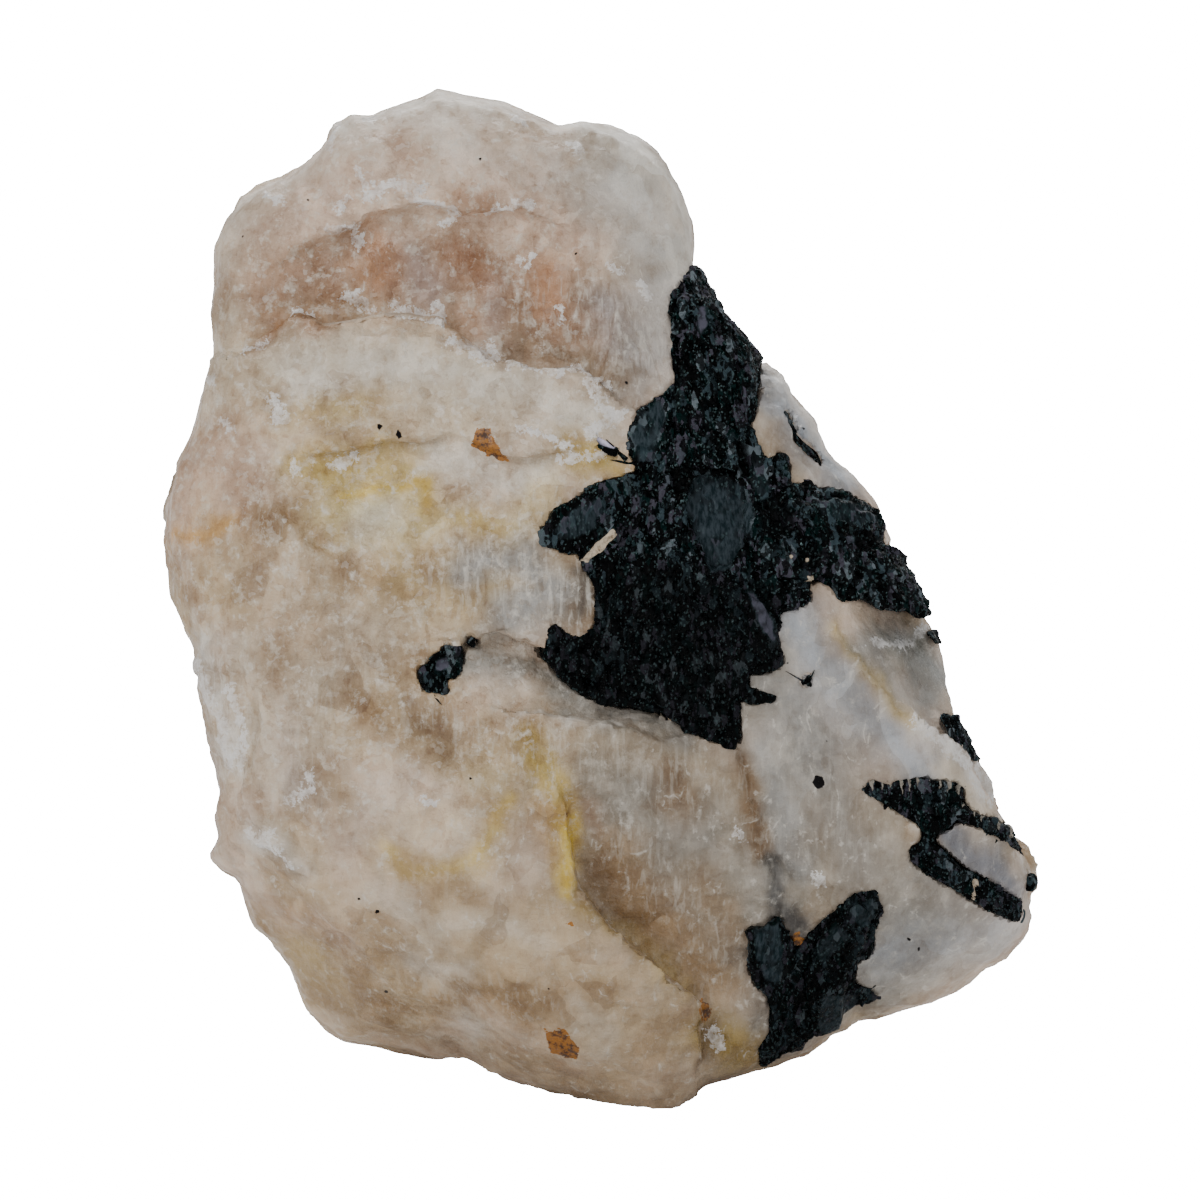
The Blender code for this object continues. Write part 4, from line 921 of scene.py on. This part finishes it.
# Crumbs: little crooked grains, a few white and a few clear; the white ones are partly white grains and
# partly painted glints
crumb_place = stone.warped(stone.place(stretch=(1.5, 1.5, 1.8)), 1.2, 1.4)
crumb_height, crumb_tone, crumb_hue = stone.facets(crumb_place, "Height", "Tone", "Second Tone")
gleam_place = stone.place(stretch=(0.9, 0.9, 1.25))
gleam_tone, gleam_gloss = stone.facets(gleam_place, "Tone", "Second Tone")
white_crumb_glint = stone.times(stone.between(crumb_tone, 0.82, 0.90), stone.between(gleam_tone, 0.35, 0.8))
white_crumb_glint = stone.times(white_crumb_glint, stone.between(crisp_share, 0.2, 1.0, 0.05, 0.22))
clear_crumb = stone.between(crumb_hue, 0.80, 0.92)
clear_crumb = stone.times(clear_crumb, stone.between(crisp_share, 0.2, 1.0, 0.15, 0.45))
colour = stone.blend(stone.times(white_crumb_glint, milky), colour, WHITE_CRUMB_GLINT)
colour = stone.blend(clear_crumb, colour, CLEAR_CRUMB, "MULTIPLY")

# Flakes, rust and specks, whose painted edges are made ragged
ragged = stone.clouds(everywhere, 0.55, 3.0, 0.75)
flake_edge = stone.combine("ADD", stone.attribute("flaked"), stone.between(ragged, 0.25, 0.75, -0.5, 0.5))
flake_share = stone.between(flake_edge, 0.62, 0.69)
flake_white = stone.times(flake_share, stone.between(mottle, 0.34, 0.62, 0.25, 0.85))
colour = stone.blend(flake_white, colour, WHITE_FLAKE)
rust_edge = stone.combine("ADD", stone.attribute("rusted"), stone.between(ragged, 0.25, 0.75, -0.3, 0.3))
rust_light = stone.between(stone.combine("ADD", ragged, mottle), 0.84, 1.12)
rust_colour = stone.blend(rust_light, DARK_RUST, BRIGHT_RUST)
colour = stone.blend(stone.between(rust_edge, 0.42, 0.58), colour, rust_colour)
speck_share = stone.between(stone.attribute("specked"), 0.30, 0.45)
colour = stone.blend(speck_share, colour, BLACK_SPECK)

rough = stone.between(gleam_gloss, 0.0, 1.0, 0.28, 0.62)
rough = stone.times(rough, stone.between(glass, 0.0, 1.0, 1.0, 0.6))
rough = stone.times(rough, stone.between(flake_share, 0.0, 1.0, 1.0, 0.6))
stone.wire(colour, stone.shader.inputs["Base Color"])
stone.wire(speck_share, stone.shader.inputs["Metallic"])
stone.wire(rough, stone.shader.inputs["Roughness"])
stone.wire(QUARTZ_IOR, stone.shader.inputs["IOR"])
stone.uneven([
    (shard_height, 0.5, 0.80),
    (stone.times(comb, combed), 0.5, 0.30),
    (stone.times(crumb_height, crisp_share), 0.55, 0.34),
    (mottle, 0.5, 0.40),
    (ragged, 0.4, 0.12),
])
quartz_mesh.materials.clear()
quartz_mesh.materials.append(stone.material)
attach(quartz, "root")
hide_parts("rose_quartz")

# The black tourmaline: coarse crystals grown fast into the quartz. Their broken ends are granular,
# made of hundreds of little blocks that glint blue-grey, and a few long faces are smooth and striped
# along the crystal. The glints of the blocks and the sheen of the smooth faces are painted into the
# colour. Each one fills its pocket in the quartz.

# Each crystal: how fine its mesh is in millimetres, how dark and even its broken end is from 0 to 1,
# how far its outline is bitten into from 0 to 1, how ragged its rim is and how proud it stands, both
# in millimetres
TOURMALINES = {
    "tourmaline_main": (0.23, 0.0, 0.0, 0.30, 0.16),
    "tourmaline_foot": (0.18, 0.6, 0.0, 0.20, 0.14),
    "tourmaline_spray": (0.14, 0.25, 0.0, 0.02, 0.10),
    "tourmaline_left_patch": (0.11, 0.3, 0.0, 0.10, 0.05),
    "tourmaline_blade": (0.09, 0.0, 0.0, 0.0, 0.08),
    "tourmaline_left_chip": (0.09, 0.5, 0.3, 0.1, 0.0),
    "tourmaline_lower_chip": (0.09, 0.5, 0.6, 0.0, -0.12),
    "tourmaline_edge_chip": (0.09, 0.3, 0.2, 0.1, -0.1),
    "tourmaline_edge_sliver": (0.13, 0.0, 0.0, 0.2, 0.1),
    "tourmaline_tip_sliver": (0.09, 0.0, 0.0, 0.2, 0.4),
    "tourmaline_needles": (0.09, 0.4, 0.0, 0.0, -0.24),
}

# The smooth faces: outline on the sheet, how light the face is, which sets the painted sheen and reflection
# it shows, and how much it sinks into the grain
SMOOTH_FACES = [
    ([(69.6, 47.5), (72.6, 47.8), (74.8, 49.3), (75.2, 51.8), (74.0, 55.0), (72.8, 56.9), (70.9, 57.4),
      (69.6, 54.0), (68.3, 50.8)], 1.0, 0.25),
    ([(63.0, 43.6), (64.4, 41.4), (66.0, 40.0), (66.4, 42.0), (65.6, 44.4), (65.4, 46.4),
      (63.8, 46.4)], 0.8, 0.1),
    ([(81.2, 50.2), (84.4, 50.0), (87.2, 51.6), (87.8, 52.4), (84.6, 52.6), (81.8, 51.6)], 0.3, 0.0),
    ([(55.4, 53.0), (57.4, 51.0), (60.0, 49.8), (60.6, 51.2), (59.0, 53.4), (56.2, 54.2)], 0.5, 0.0),
    ([(74.4, 59.4), (75.2, 59.2), (77.2, 62.2), (77.2, 64.4), (76.0, 63.2)], 1.3, 0.0),
    ([(69.4, 30.8), (70.4, 31.0), (70.6, 33.2), (69.8, 33.8)], 1.4, 0.0),
    ([(74.6, 43.8), (75.6, 45.0), (77.0, 48.6), (76.4, 50.2), (75.0, 49.0)], 0.15, 0.0),
    ([(75.3, 92.6), (77.8, 92.0), (78.1, 95.0), (77.9, 98.2), (76.4, 97.7), (75.4, 95.4)], 0.95, 0.0),
    ([(85.2, 89.8), (87.2, 89.6), (87.4, 91.4), (86.0, 92.4), (84.6, 91.4)], 0.45, 0.0),
    ([(82.0, 99.2), (85.6, 99.4), (86.0, 103.0), (83.6, 104.4), (81.8, 103.0)], 0.55, 0.0),
    ([(81.0, 94.6), (83.6, 92.2), (84.8, 93.2), (82.2, 96.4)], 0.3, 0.0),
    ([(43.8, 65.9), (45.0, 65.6), (45.3, 66.5), (44.4, 67.1), (43.6, 66.8)], 1.4, 0.0),
    ([(59.2, 43.6), (60.6, 44.0), (61.8, 44.9), (61.4, 45.2), (60.0, 44.8)], 3.0, 0.0),
]

# Black hollows between the blocks: outlines on the sheet
HOLLOWS = [
    [(66.9, 46.9), (69.2, 47.0), (69.2, 49.4), (67.4, 49.4)],
    [(69.3, 46.8), (73.4, 47.2), (73.4, 47.8), (69.3, 47.4)],
    [(75.6, 50.2), (77.4, 49.4), (79.6, 51.4), (78.8, 53.6), (76.0, 53.4)],
    [(85.0, 53.0), (87.0, 53.2), (87.2, 55.0), (85.4, 55.2)],
    [(79.4, 55.0), (81.6, 54.4), (81.8, 56.8), (79.8, 57.0)],
    [(73.4, 44.6), (74.4, 44.2), (75.0, 47.6), (74.0, 47.8)],
    [(67.2, 36.0), (68.6, 36.2), (68.0, 39.0), (67.2, 38.4)],
]

# Slips of cream quartz caught in the crystals: outlines on the sheet
CREAM_SLIPS = [
    [(97.1, 87.7), (97.5, 87.8), (97.4, 89.9), (97.0, 89.8)],
    [(58.2, 56.1), (59.5, 54.4), (61.3, 53.0), (61.7, 53.6), (60.4, 55.0), (58.7, 56.3)],
    [(78.6, 55.5), (79.0, 55.5), (79.0, 55.9), (78.6, 55.9)],
    [(80.4, 55.8), (80.8, 55.8), (80.8, 56.2), (80.4, 56.2)],
    [(80.2, 57.6), (80.9, 57.4), (81.0, 58.0), (80.3, 58.2)],
]

# Quartz between the teeth along the top of the spray: outlines on the sheet
TOOTH_GAPS = [
    [(86.4, 77.4), (87.1, 77.2), (86.9, 78.9)],
    [(87.5, 77.2), (88.1, 77.4), (87.9, 78.9)],
    [(88.5, 77.4), (89.1, 77.3), (88.8, 78.8)],
    [(89.5, 77.2), (90.0, 77.3), (89.8, 79.4)],
    [(90.3, 77.4), (90.8, 77.4), (90.6, 79.2)],
    [(91.2, 77.3), (91.6, 77.3), (91.4, 78.6)],
    [(92.4, 77.2), (92.7, 77.2), (92.6, 78.2)],
    [(93.3, 77.2), (93.8, 77.3), (93.6, 78.9)],
    [(94.1, 77.3), (94.9, 77.4), (94.5, 79.2)],
    [(95.4, 77.6), (96.2, 77.8), (95.5, 79.5)],
    [(96.3, 78.9), (97.2, 79.3), (95.9, 80.7)],
    [(96.9, 80.1), (97.6, 80.3), (97.1, 81.6)],
    [(97.9, 80.7), (98.5, 81.0), (97.8, 82.1)],
    [(99.2, 81.2), (100.0, 81.5), (99.6, 83.0)],
    [(100.6, 82.2), (101.4, 82.6), (100.9, 84.0)],
]

# Thin blades that stand out from the crystals over the quartz: root, tip and width in millimetres
BLADES = {
    "tourmaline_spray": [
        ((88.0, 79.8), (86.0, 78.4), 0.5), ((88.7, 79.6), (87.0, 77.9), 0.45),
        ((89.1, 79.4), (88.4, 77.9), 0.4), ((89.8, 79.6), (89.3, 78.2), 0.4),
        ((90.6, 79.4), (90.1, 77.8), 0.5), ((91.5, 79.4), (91.1, 77.9), 0.4),
        ((92.4, 79.4), (92.1, 77.8), 0.5), ((93.2, 79.6), (92.8, 77.7), 0.4),
        ((93.8, 79.8), (94.3, 78.3), 0.4), ((94.6, 80.0), (95.3, 78.1), 0.5),
        ((95.2, 80.4), (96.3, 78.5), 0.45), ((95.0, 81.2), (96.1, 79.7), 0.4),
        ((96.4, 81.8), (97.6, 80.8), 0.45), ((97.4, 82.6), (98.3, 81.5), 0.4),
        ((98.4, 83.2), (99.6, 81.8), 0.5), ((99.4, 84.0), (100.8, 82.8), 0.4),
    ],
    "tourmaline_main": [((74.4, 69.3), (77.3, 69.6), 0.4), ((73.4, 70.2), (74.6, 71.4), 0.4),
                        ((76.4, 66.8), (78.6, 66.2), 0.5), ((61.6, 63.0), (60.4, 62.2), 0.5)],
    "tourmaline_lower_chip": [((80.9, 68.5), (78.3, 67.0), 0.24), ((80.5, 68.4), (81.2, 66.9), 0.35)],
    "tourmaline_left_patch": [((44.4, 68.6), (46.9, 70.1), 0.22), ((44.0, 66.6), (46.0, 65.4), 0.5),
                              ((42.6, 67.4), (42.0, 66.0), 0.5), ((43.2, 69.0), (44.4, 70.3), 0.4)],
    "tourmaline_foot": [((85.4, 99.8), (87.6, 98.6), 0.8), ((78.6, 94.0), (78.2, 91.8), 0.6)],
    "tourmaline_blade": [((62.6, 46.2), (60.6, 44.2), 0.45), ((63.4, 46.6), (61.0, 46.2), 0.4)],
}

# How the long grain of the crystals runs over the sheet: place, direction and how far it rules
GRAIN_RUNS = [
    ((71.0, 38.0), (0.25, 1.0), 9.0),
    ((62.0, 50.0), (-0.9, 0.5), 6.0),
    ((84.0, 54.0), (1.0, 0.5), 8.0),
    ((66.0, 63.0), (0.3, 1.0), 9.0),
    ((80.0, 98.0), (0.5, -1.0), 9.0),
    ((94.0, 82.0), (1.0, 0.55), 9.0),
]

# The grain turns in steps of an angle, so that each block keeps one direction
GRAIN_TURN = 0.6

# Two sizes of block in the grain: size in millimetres, how many times longer along the grain, seed of
# the noise, and how far they rise, in millimetres, on the rough ends and on the dark fan. A crystal
# whose mesh is finer than the grid given here is too small for the full rise.
BLOCKS = [
    (1.0, 1.7, 1, 0.22, 0.10),
    (0.5, 1.4, 2, 0.10, 0.12),
]
FULL_RISE_GRID = 0.14

# In millimetres: how deep the hollows are, how far the far ends are drawn out, how near them the
# quartz is looked for and how far in front of it they stay, how far a blade's ends stand off the
# quartz, and from how far before the sheet, or how near behind it, the face of the quartz is found
HOLLOW_DEPTH = 0.55
REAR_RISE = 1.8
REAR_SEARCH = 1.2
REAR_LIFT = 0.12
BLADE_ROOT_LIFT = 0.05
BLADE_TIP_LIFT = 0.12
BEFORE_SHEET = 40.0
BEHIND_SHEET = 5.0


def grain_lead(x, y):
    """Which way the grain runs at each place of the sheet, as an angle."""
    run_x = np.zeros(len(x))
    run_y = np.zeros(len(x))
    for (at_x, at_y), (to_x, to_y), reach in GRAIN_RUNS:
        weight = np.exp(-((x - at_x) ** 2 + (y - at_y) ** 2) / reach ** 2) + 1e-6
        length = math.hypot(to_x, to_y)
        run_x += weight * to_x / length
        run_y += weight * to_y / length
    return np.round(np.arctan2(run_y, run_x) / GRAIN_TURN) * GRAIN_TURN


def block_heights(x, y, depth, size, stretch, seed):
    """Flat little blocks: for each place the height of its block's tilted face, about -1 to 1."""
    lead = grain_lead(x, y)
    along = (x * np.cos(lead) + y * np.sin(lead)) / (size * stretch)
    across = (-x * np.sin(lead) + y * np.cos(lead)) / size
    inward = depth / size + seed * 9.7 + lead * 5.0
    heights = np.empty(len(x))
    for index in range(len(x)):
        spot = Vector((along[index], across[index], inward[index]))
        centre = noise.voronoi(spot)[1][0]
        tilt = noise.cell_vector(centre * 57.0 + Vector((3.1, 7.7, 1.3)))
        rise = noise.cell(centre * 31.0)
        heights[index] = tilt.dot(spot - centre) * 1.6 + rise
    return heights


quartz_tree = BVHTree.FromPolygons([vertex.co for vertex in quartz_mesh.vertices],
                                   [polygon.vertices for polygon in quartz_mesh.polygons])


def off_sheet(x, y, depth):
    """The place in the frame of a point of the sheet, which is given in millimetres."""
    place = Vector((SHEET_LEFT + x * MM, 0.0, 0.0)) + Vector(SHEET_UP) * (SHEET_TOP - y * MM)
    return place + Vector(SHEET_IN) * (SHEET_DEPTH + depth * MM)


def face_point(at, lift):
    """Where a point of the sheet meets the face of the quartz, and a lift in millimetres in front of it."""
    start = off_sheet(at[0], at[1], -BEFORE_SHEET)
    hit, _, _, _ = quartz_tree.ray_cast(start, Vector(SHEET_IN))
    if hit is None:
        hit, _, _, _ = quartz_tree.find_nearest(start + Vector(SHEET_IN) * (BEFORE_SHEET + BEHIND_SHEET) * MM)
    return hit - Vector(SHEET_IN) * lift * MM


def add_blade(bm, root, tip, width):
    """A thin four-sided blade from its root in the crystal to a tip on the quartz."""
    start = face_point(root, BLADE_ROOT_LIFT)
    end = face_point(tip, BLADE_TIP_LIFT)
    place = (end - start).to_track_quat("Z", "Y").to_matrix().to_4x4()
    place.translation = (start + end) / 2
    bmesh.ops.create_cone(bm, cap_ends=True, segments=4, radius1=width * MM * 0.6, radius2=width * MM * 0.08,
                          depth=(end - start).length, matrix=place)


def marks_on(places, x, y):
    """How much each point belongs to the smooth faces, hollows, slips and gaps, from 0 to 1 or more."""
    ragged = soft_noise(places, 0.8, 50) * 0.2
    outlines = [outline for outline, _, _ in SMOOTH_FACES]
    faces = covers_of(x + ragged * 0.8, y + ragged * 0.8, outlines, 0.3)
    return {
        "smooth": strongest(faces),
        "light": strongest(cover * light for cover, (_, light, _) in zip(faces, SMOOTH_FACES)),
        "sunk": strongest(cover * sink for cover, (_, _, sink) in zip(faces, SMOOTH_FACES)),
        "hollow": strongest(covers_of(x + ragged, y + ragged, HOLLOWS, 0.4)),
        "cream": strongest(covers_of(x + ragged * 0.5, y + ragged * 0.5, CREAM_SLIPS, 0.3)),
        "gaps": strongest(covers_of(x + ragged * 0.4, y + ragged * 0.4, TOOTH_GAPS, 0.16)),
    }


def fan_share(x, y):
    """Where the dark, even fan at the foot of the main crystal lies."""
    below = smooth_step(-2.0, 2.0, (y - 56.0) - np.abs(x - 66.0) * 0.25)
    return below * (y < 76.0) * (x > 55.0) * (x < 78.5)


def ragged_rear(places, inward):
    """The far side of a crystal drawn out in ragged ends, none of them inside the quartz."""
    rear = smooth_step(0.2, 0.8, inward) * np.maximum(soft_noise(places, 2.4, 54) + 0.45, 0.0) * REAR_RISE
    places += rear[:, None] * SHEET_IN * MM
    for index in np.nonzero(rear > 0.2)[0]:
        place = Vector(places[index])
        near, normal, _, _ = quartz_tree.find_nearest(place, REAR_SEARCH * MM)
        if near is not None and (place - near).dot(normal) < 0.0:
            places[index] = near + normal * REAR_LIFT * MM


def crystal_piece(node_name, material):
    """The crystal that stands for one CAD solid, with its grain broken out of the surface."""
    grid, dark, bitten, rim, proud = TOURMALINES[node_name]
    mesh = even_mesh(merged_solid(node_name), grid * MM)
    smooth_mesh(mesh, np.ones(len(mesh.vertices)), 2)
    places = points_of(mesh)
    normals = normals_of(mesh)
    x, y, depth = on_sheet(places)
    inward = normals @ SHEET_IN
    facing = smooth_step(-0.2, 0.3, -inward)
    wall = smooth_step(0.30, 0.75, 1.0 - np.abs(inward))
    marks = marks_on(places, x, y)
    fan = strongest([fan_share(x, y) * 0.85, np.full(len(x), dark), marks["hollow"]])

    grain = np.zeros(len(x))
    for size, stretch, seed, rise, fan_rise in BLOCKS:
        blocks = block_heights(x, y, depth, size, stretch, seed)
        grain += blocks * (rise + (fan_rise - rise) * fan) * min(1.0, grid / FULL_RISE_GRID)
    bites = np.maximum(soft_noise(places, 1.2, 52) + 0.1, 0.0) * rim
    sunk = marks["sunk"] + marks["hollow"] * HOLLOW_DEPTH
    move = (grain * (1.0 - marks["smooth"]) - sunk) * facing + proud + bites * wall
    places += normals * move[:, None] * MM
    if bitten > 0.0:
        angle = np.arctan2(y - y.mean(), x - x.mean())
        share = bitten * (0.5 + 0.5 * np.sin(3.0 * angle + len(node_name)))
        pull_x = (x.mean() - x) * share * MM
        pull_y = (y.mean() - y) * share * MM
        places += pull_x[:, None] * np.array((1.0, 0.0, 0.0)) - pull_y[:, None] * SHEET_UP
    ragged_rear(places, inward)
    move_points(mesh, places)

    bm = bmesh.new()
    bm.from_mesh(mesh)
    for root, tip, width in BLADES.get(node_name, []):
        add_blade(bm, root, tip, width)
    bm.to_mesh(mesh)
    bm.free()
    blade_points = len(mesh.vertices) - len(places)
    for name, values, on_blades in (
            ("smooth", marks["smooth"] * facing, 0.0), ("light", marks["light"] * facing, 0.0),
            ("fan", fan, 0.3), ("cream", marks["cream"] * facing, 0.0), ("gaps", marks["gaps"], 0.0)):
        painted(np.append(values, np.full(blade_points, on_blades)), name, mesh)
    mesh.materials.clear()
    mesh.materials.append(material)
    piece = bpy.data.objects.new(f"{node_name}_crystal", mesh)
    bpy.context.collection.objects.link(piece)
    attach(piece, "root")
    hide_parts(node_name)


INK = (0.0010, 0.0013, 0.0016, 1.0)
BLUE_GREY_GLINT = (0.038, 0.060, 0.072, 1.0)
VIOLET_GREY_GLINT = (0.060, 0.058, 0.078, 1.0)
GREEN_BLACK = (0.002, 0.012, 0.012, 1.0)
BRIGHT_BLOCK_GLINT = (0.130, 0.160, 0.180, 1.0)
GLINT = (0.080, 0.125, 0.130, 1.0)
DARK_STRIPE = (0.004, 0.013, 0.016, 1.0)
STRIPE_SHEEN = (0.037, 0.052, 0.062, 1.0)
VIOLET_SHEEN = (0.085, 0.085, 0.115, 1.0)
MIRROR_REFLECTION = (0.72, 0.68, 0.86, 1.0)
CREAM_SLIP = (0.60, 0.50, 0.38, 1.0)
TOOTH_GAP = (0.30, 0.275, 0.235, 1.0)
TOURMALINE_SPECULAR = 0.05

black = NodeBoard("black_tourmaline")
smooth_mask = black.attribute("smooth")
rough_mask = black.combine("SUBTRACT", 1.0, smooth_mask)
sheen_mask = black.attribute("light")
fan_mask = black.attribute("fan")

# Blocks, chips and specks: three sizes of broken grain, drawn out along the crystal. The blue-grey,
# violet-grey and bright blocks and the specks' glints are painted glints on the black
grain_turn = (LOOK_DOWN, math.radians(8.0), 0.0)
block_place = black.place(stretch=(1.3, 1.3, 0.55), turn=grain_turn)
chip_place = black.place(stretch=(2.6, 2.6, 1.2), turn=grain_turn)
speck_place = black.place(stretch=(6.2, 6.2, 4.4), turn=grain_turn)
block_tone, block_hue = black.facets(block_place, "Tone", "Second Tone")
chip_height, chip_tone = black.facets(chip_place, "Height", "Tone")
speck_height, speck_gloss = black.facets(speck_place, "Height", "Second Tone")
colour = black.blend(black.between(block_tone, 0.42, 0.66), INK, BLUE_GREY_GLINT)
colour = black.blend(black.between(block_hue, 0.74, 0.86), colour, VIOLET_GREY_GLINT)
colour = black.blend(black.between(block_tone, 0.84, 0.93), colour, BRIGHT_BLOCK_GLINT)
colour = black.blend(black.between(block_hue, 0.30, 0.12), colour, GREEN_BLACK)
colour = black.blend(black.between(chip_tone, 0.58, 0.44, 0.0, 0.9), colour, INK)
colour = black.blend(black.times(fan_mask, 0.9), colour, INK)
glint = black.between(speck_gloss, 0.88, 0.95)
glint = black.times(glint, black.between(fan_mask, 0.0, 0.9, 1.0, 0.45))
colour = black.blend(black.times(glint, 0.70), colour, GLINT)

# The smooth faces, striped along the crystal and clouded where they are dull, with a painted sheen and,
# on the lightest, a painted mirror reflection
stripe_place = black.place(stretch=(1.0, 1.0, 0.12), turn=(LOOK_DOWN, math.radians(14.0), 0.0))
stripes = black.clouds(stripe_place, 0.35, 4.0, 0.65, 0.2)
face_sheen = black.blend(black.between(stripes, 0.36, 0.62), DARK_STRIPE, STRIPE_SHEEN)
face_sheen = black.blend(black.between(sheen_mask, 0.95, 1.4), face_sheen, VIOLET_SHEEN)
face_sheen = black.blend(black.between(sheen_mask, 1.5, 3.0), face_sheen, MIRROR_REFLECTION)
face_cloud = black.between(black.clouds(black.place(), 1.7, 2.0), 0.36, 0.58, 0.35, 1.0)
shining = black.times(smooth_mask, black.between(sheen_mask, 0.0, 1.0, 0.25, 1.0))
colour = black.blend(black.times(shining, face_cloud), colour, face_sheen)

# Quartz caught in the crystals and between the teeth of the spray
colour = black.blend(black.between(black.attribute("cream"), 0.35, 0.65), colour, CREAM_SLIP)
colour = black.blend(black.between(black.attribute("gaps"), 0.35, 0.65), colour, TOOTH_GAP)

rough = black.between(chip_tone, 0.0, 1.0, 0.22, 0.62)
rough = black.times(rough, black.between(smooth_mask, 0.0, 1.0, 1.0, 0.8))
black.wire(colour, black.shader.inputs["Base Color"])
black.wire(black.times(glint, black.times(rough_mask, 0.55)), black.shader.inputs["Metallic"])
black.wire(rough, black.shader.inputs["Roughness"])
black.wire(TOURMALINE_SPECULAR, black.shader.inputs["Specular IOR Level"])
black.uneven([
    (black.times(chip_height, rough_mask), 0.9, 0.30),
    (black.times(speck_height, rough_mask), 0.7, 0.14),
    (black.times(stripes, smooth_mask), 0.45, 0.16),
])

for node_name in TOURMALINES:
    crystal_piece(node_name, black.material)

# The table: one plain white sheet that the stone's flat foot stands on. It also glows, for the camera
# alone, so that it all but vanishes.

TABLE_SIZE = 6.0
TABLE_WHITE = (0.85, 0.85, 0.85, 1.0)
TABLE_ROUGHNESS = 0.9
TABLE_SPECULAR = 0.1
TABLE_GLOW = 22.0

bpy.ops.mesh.primitive_plane_add(size=TABLE_SIZE)
floor = bpy.context.object
floor.name = "floor"
table = NodeBoard("white_table")
table.wire(TABLE_WHITE, table.shader.inputs["Base Color"])
table.wire(TABLE_ROUGHNESS, table.shader.inputs["Roughness"])
table.wire(TABLE_SPECULAR, table.shader.inputs["Specular IOR Level"])
seen_by = table.add("LightPath", {})
glow_strength = table.times(seen_by.outputs["Is Camera Ray"], TABLE_GLOW)
glow = table.add("Emission", {"Color": (1.0, 1.0, 1.0, 1.0), "Strength": glow_strength})
lit_and_glowing = table.add("AddShader", {0: table.shader.outputs["BSDF"], 1: glow.outputs["Emission"]})
table.wire(lit_and_glowing.outputs["Shader"], table.tree.nodes["Material Output"].inputs["Surface"])
floor.data.materials.append(table.material)

# The light: square soft boxes that all look at the middle of the stone, a big one high at the left
# front, weak ones at the right and in front and one behind, in an even white room.

STONE_MIDDLE = Vector((0.0, 0.0, 0.05))
ROOM_WHITE = (1.0, 1.0, 1.0, 1.0)
ROOM_STRENGTH = 0.42

# Each soft box: name, place and size in metres, power in watts and colour
SOFT_BOXES = [
    ("key_light", (-0.65, -0.75, 0.75), 0.7, 7.0, (1.0, 0.985, 0.965)),
    ("right_light", (0.9, -0.6, 0.45), 0.7, 1.2, (0.95, 0.97, 1.0)),
    ("front_light", (-0.15, -1.3, 0.25), 0.6, 1.0, (1.0, 0.99, 0.98)),
    ("back_light", (0.1, 0.7, 0.75), 0.9, 9.0, (1.0, 1.0, 1.0)),
]

for name, place, size, power, colour in SOFT_BOXES:
    soft_box = bpy.data.lights.new(name, "AREA")
    soft_box.shape = "SQUARE"
    soft_box.size = size
    soft_box.energy = power
    soft_box.color = colour
    light = bpy.data.objects.new(name, soft_box)
    bpy.context.collection.objects.link(light)
    light.location = place
    light.rotation_euler = (STONE_MIDDLE - Vector(place)).to_track_quat("-Z", "Y").to_euler()

room = bpy.data.worlds.new("studio")
room.use_nodes = True
room.node_tree.nodes["Background"].inputs["Color"].default_value = ROOM_WHITE
room.node_tree.nodes["Background"].inputs["Strength"].default_value = ROOM_STRENGTH
bpy.context.scene.world = room

# The camera: square on to the sheet from a little above, with a long lens. From one metre away, 300
# mm of lens on 36 mm of sensor take in just the 120 mm of the sheet.

CAMERA_AWAY = 1.0
CAMERA_LENS = 300.0
CAMERA_SENSOR = 36.0
SHEET_MIDDLE = 60.0

camera_data = bpy.data.cameras.new("camera")
camera_data.sensor_width = CAMERA_SENSOR
camera_data.lens = CAMERA_LENS
camera = bpy.data.objects.new("camera", camera_data)
bpy.context.collection.objects.link(camera)
camera.location = off_sheet(SHEET_MIDDLE, SHEET_MIDDLE, 0.0) - Vector(SHEET_IN) * CAMERA_AWAY
camera.rotation_euler = Vector(SHEET_IN).to_track_quat("-Z", "Y").to_euler()
bpy.context.scene.camera = camera
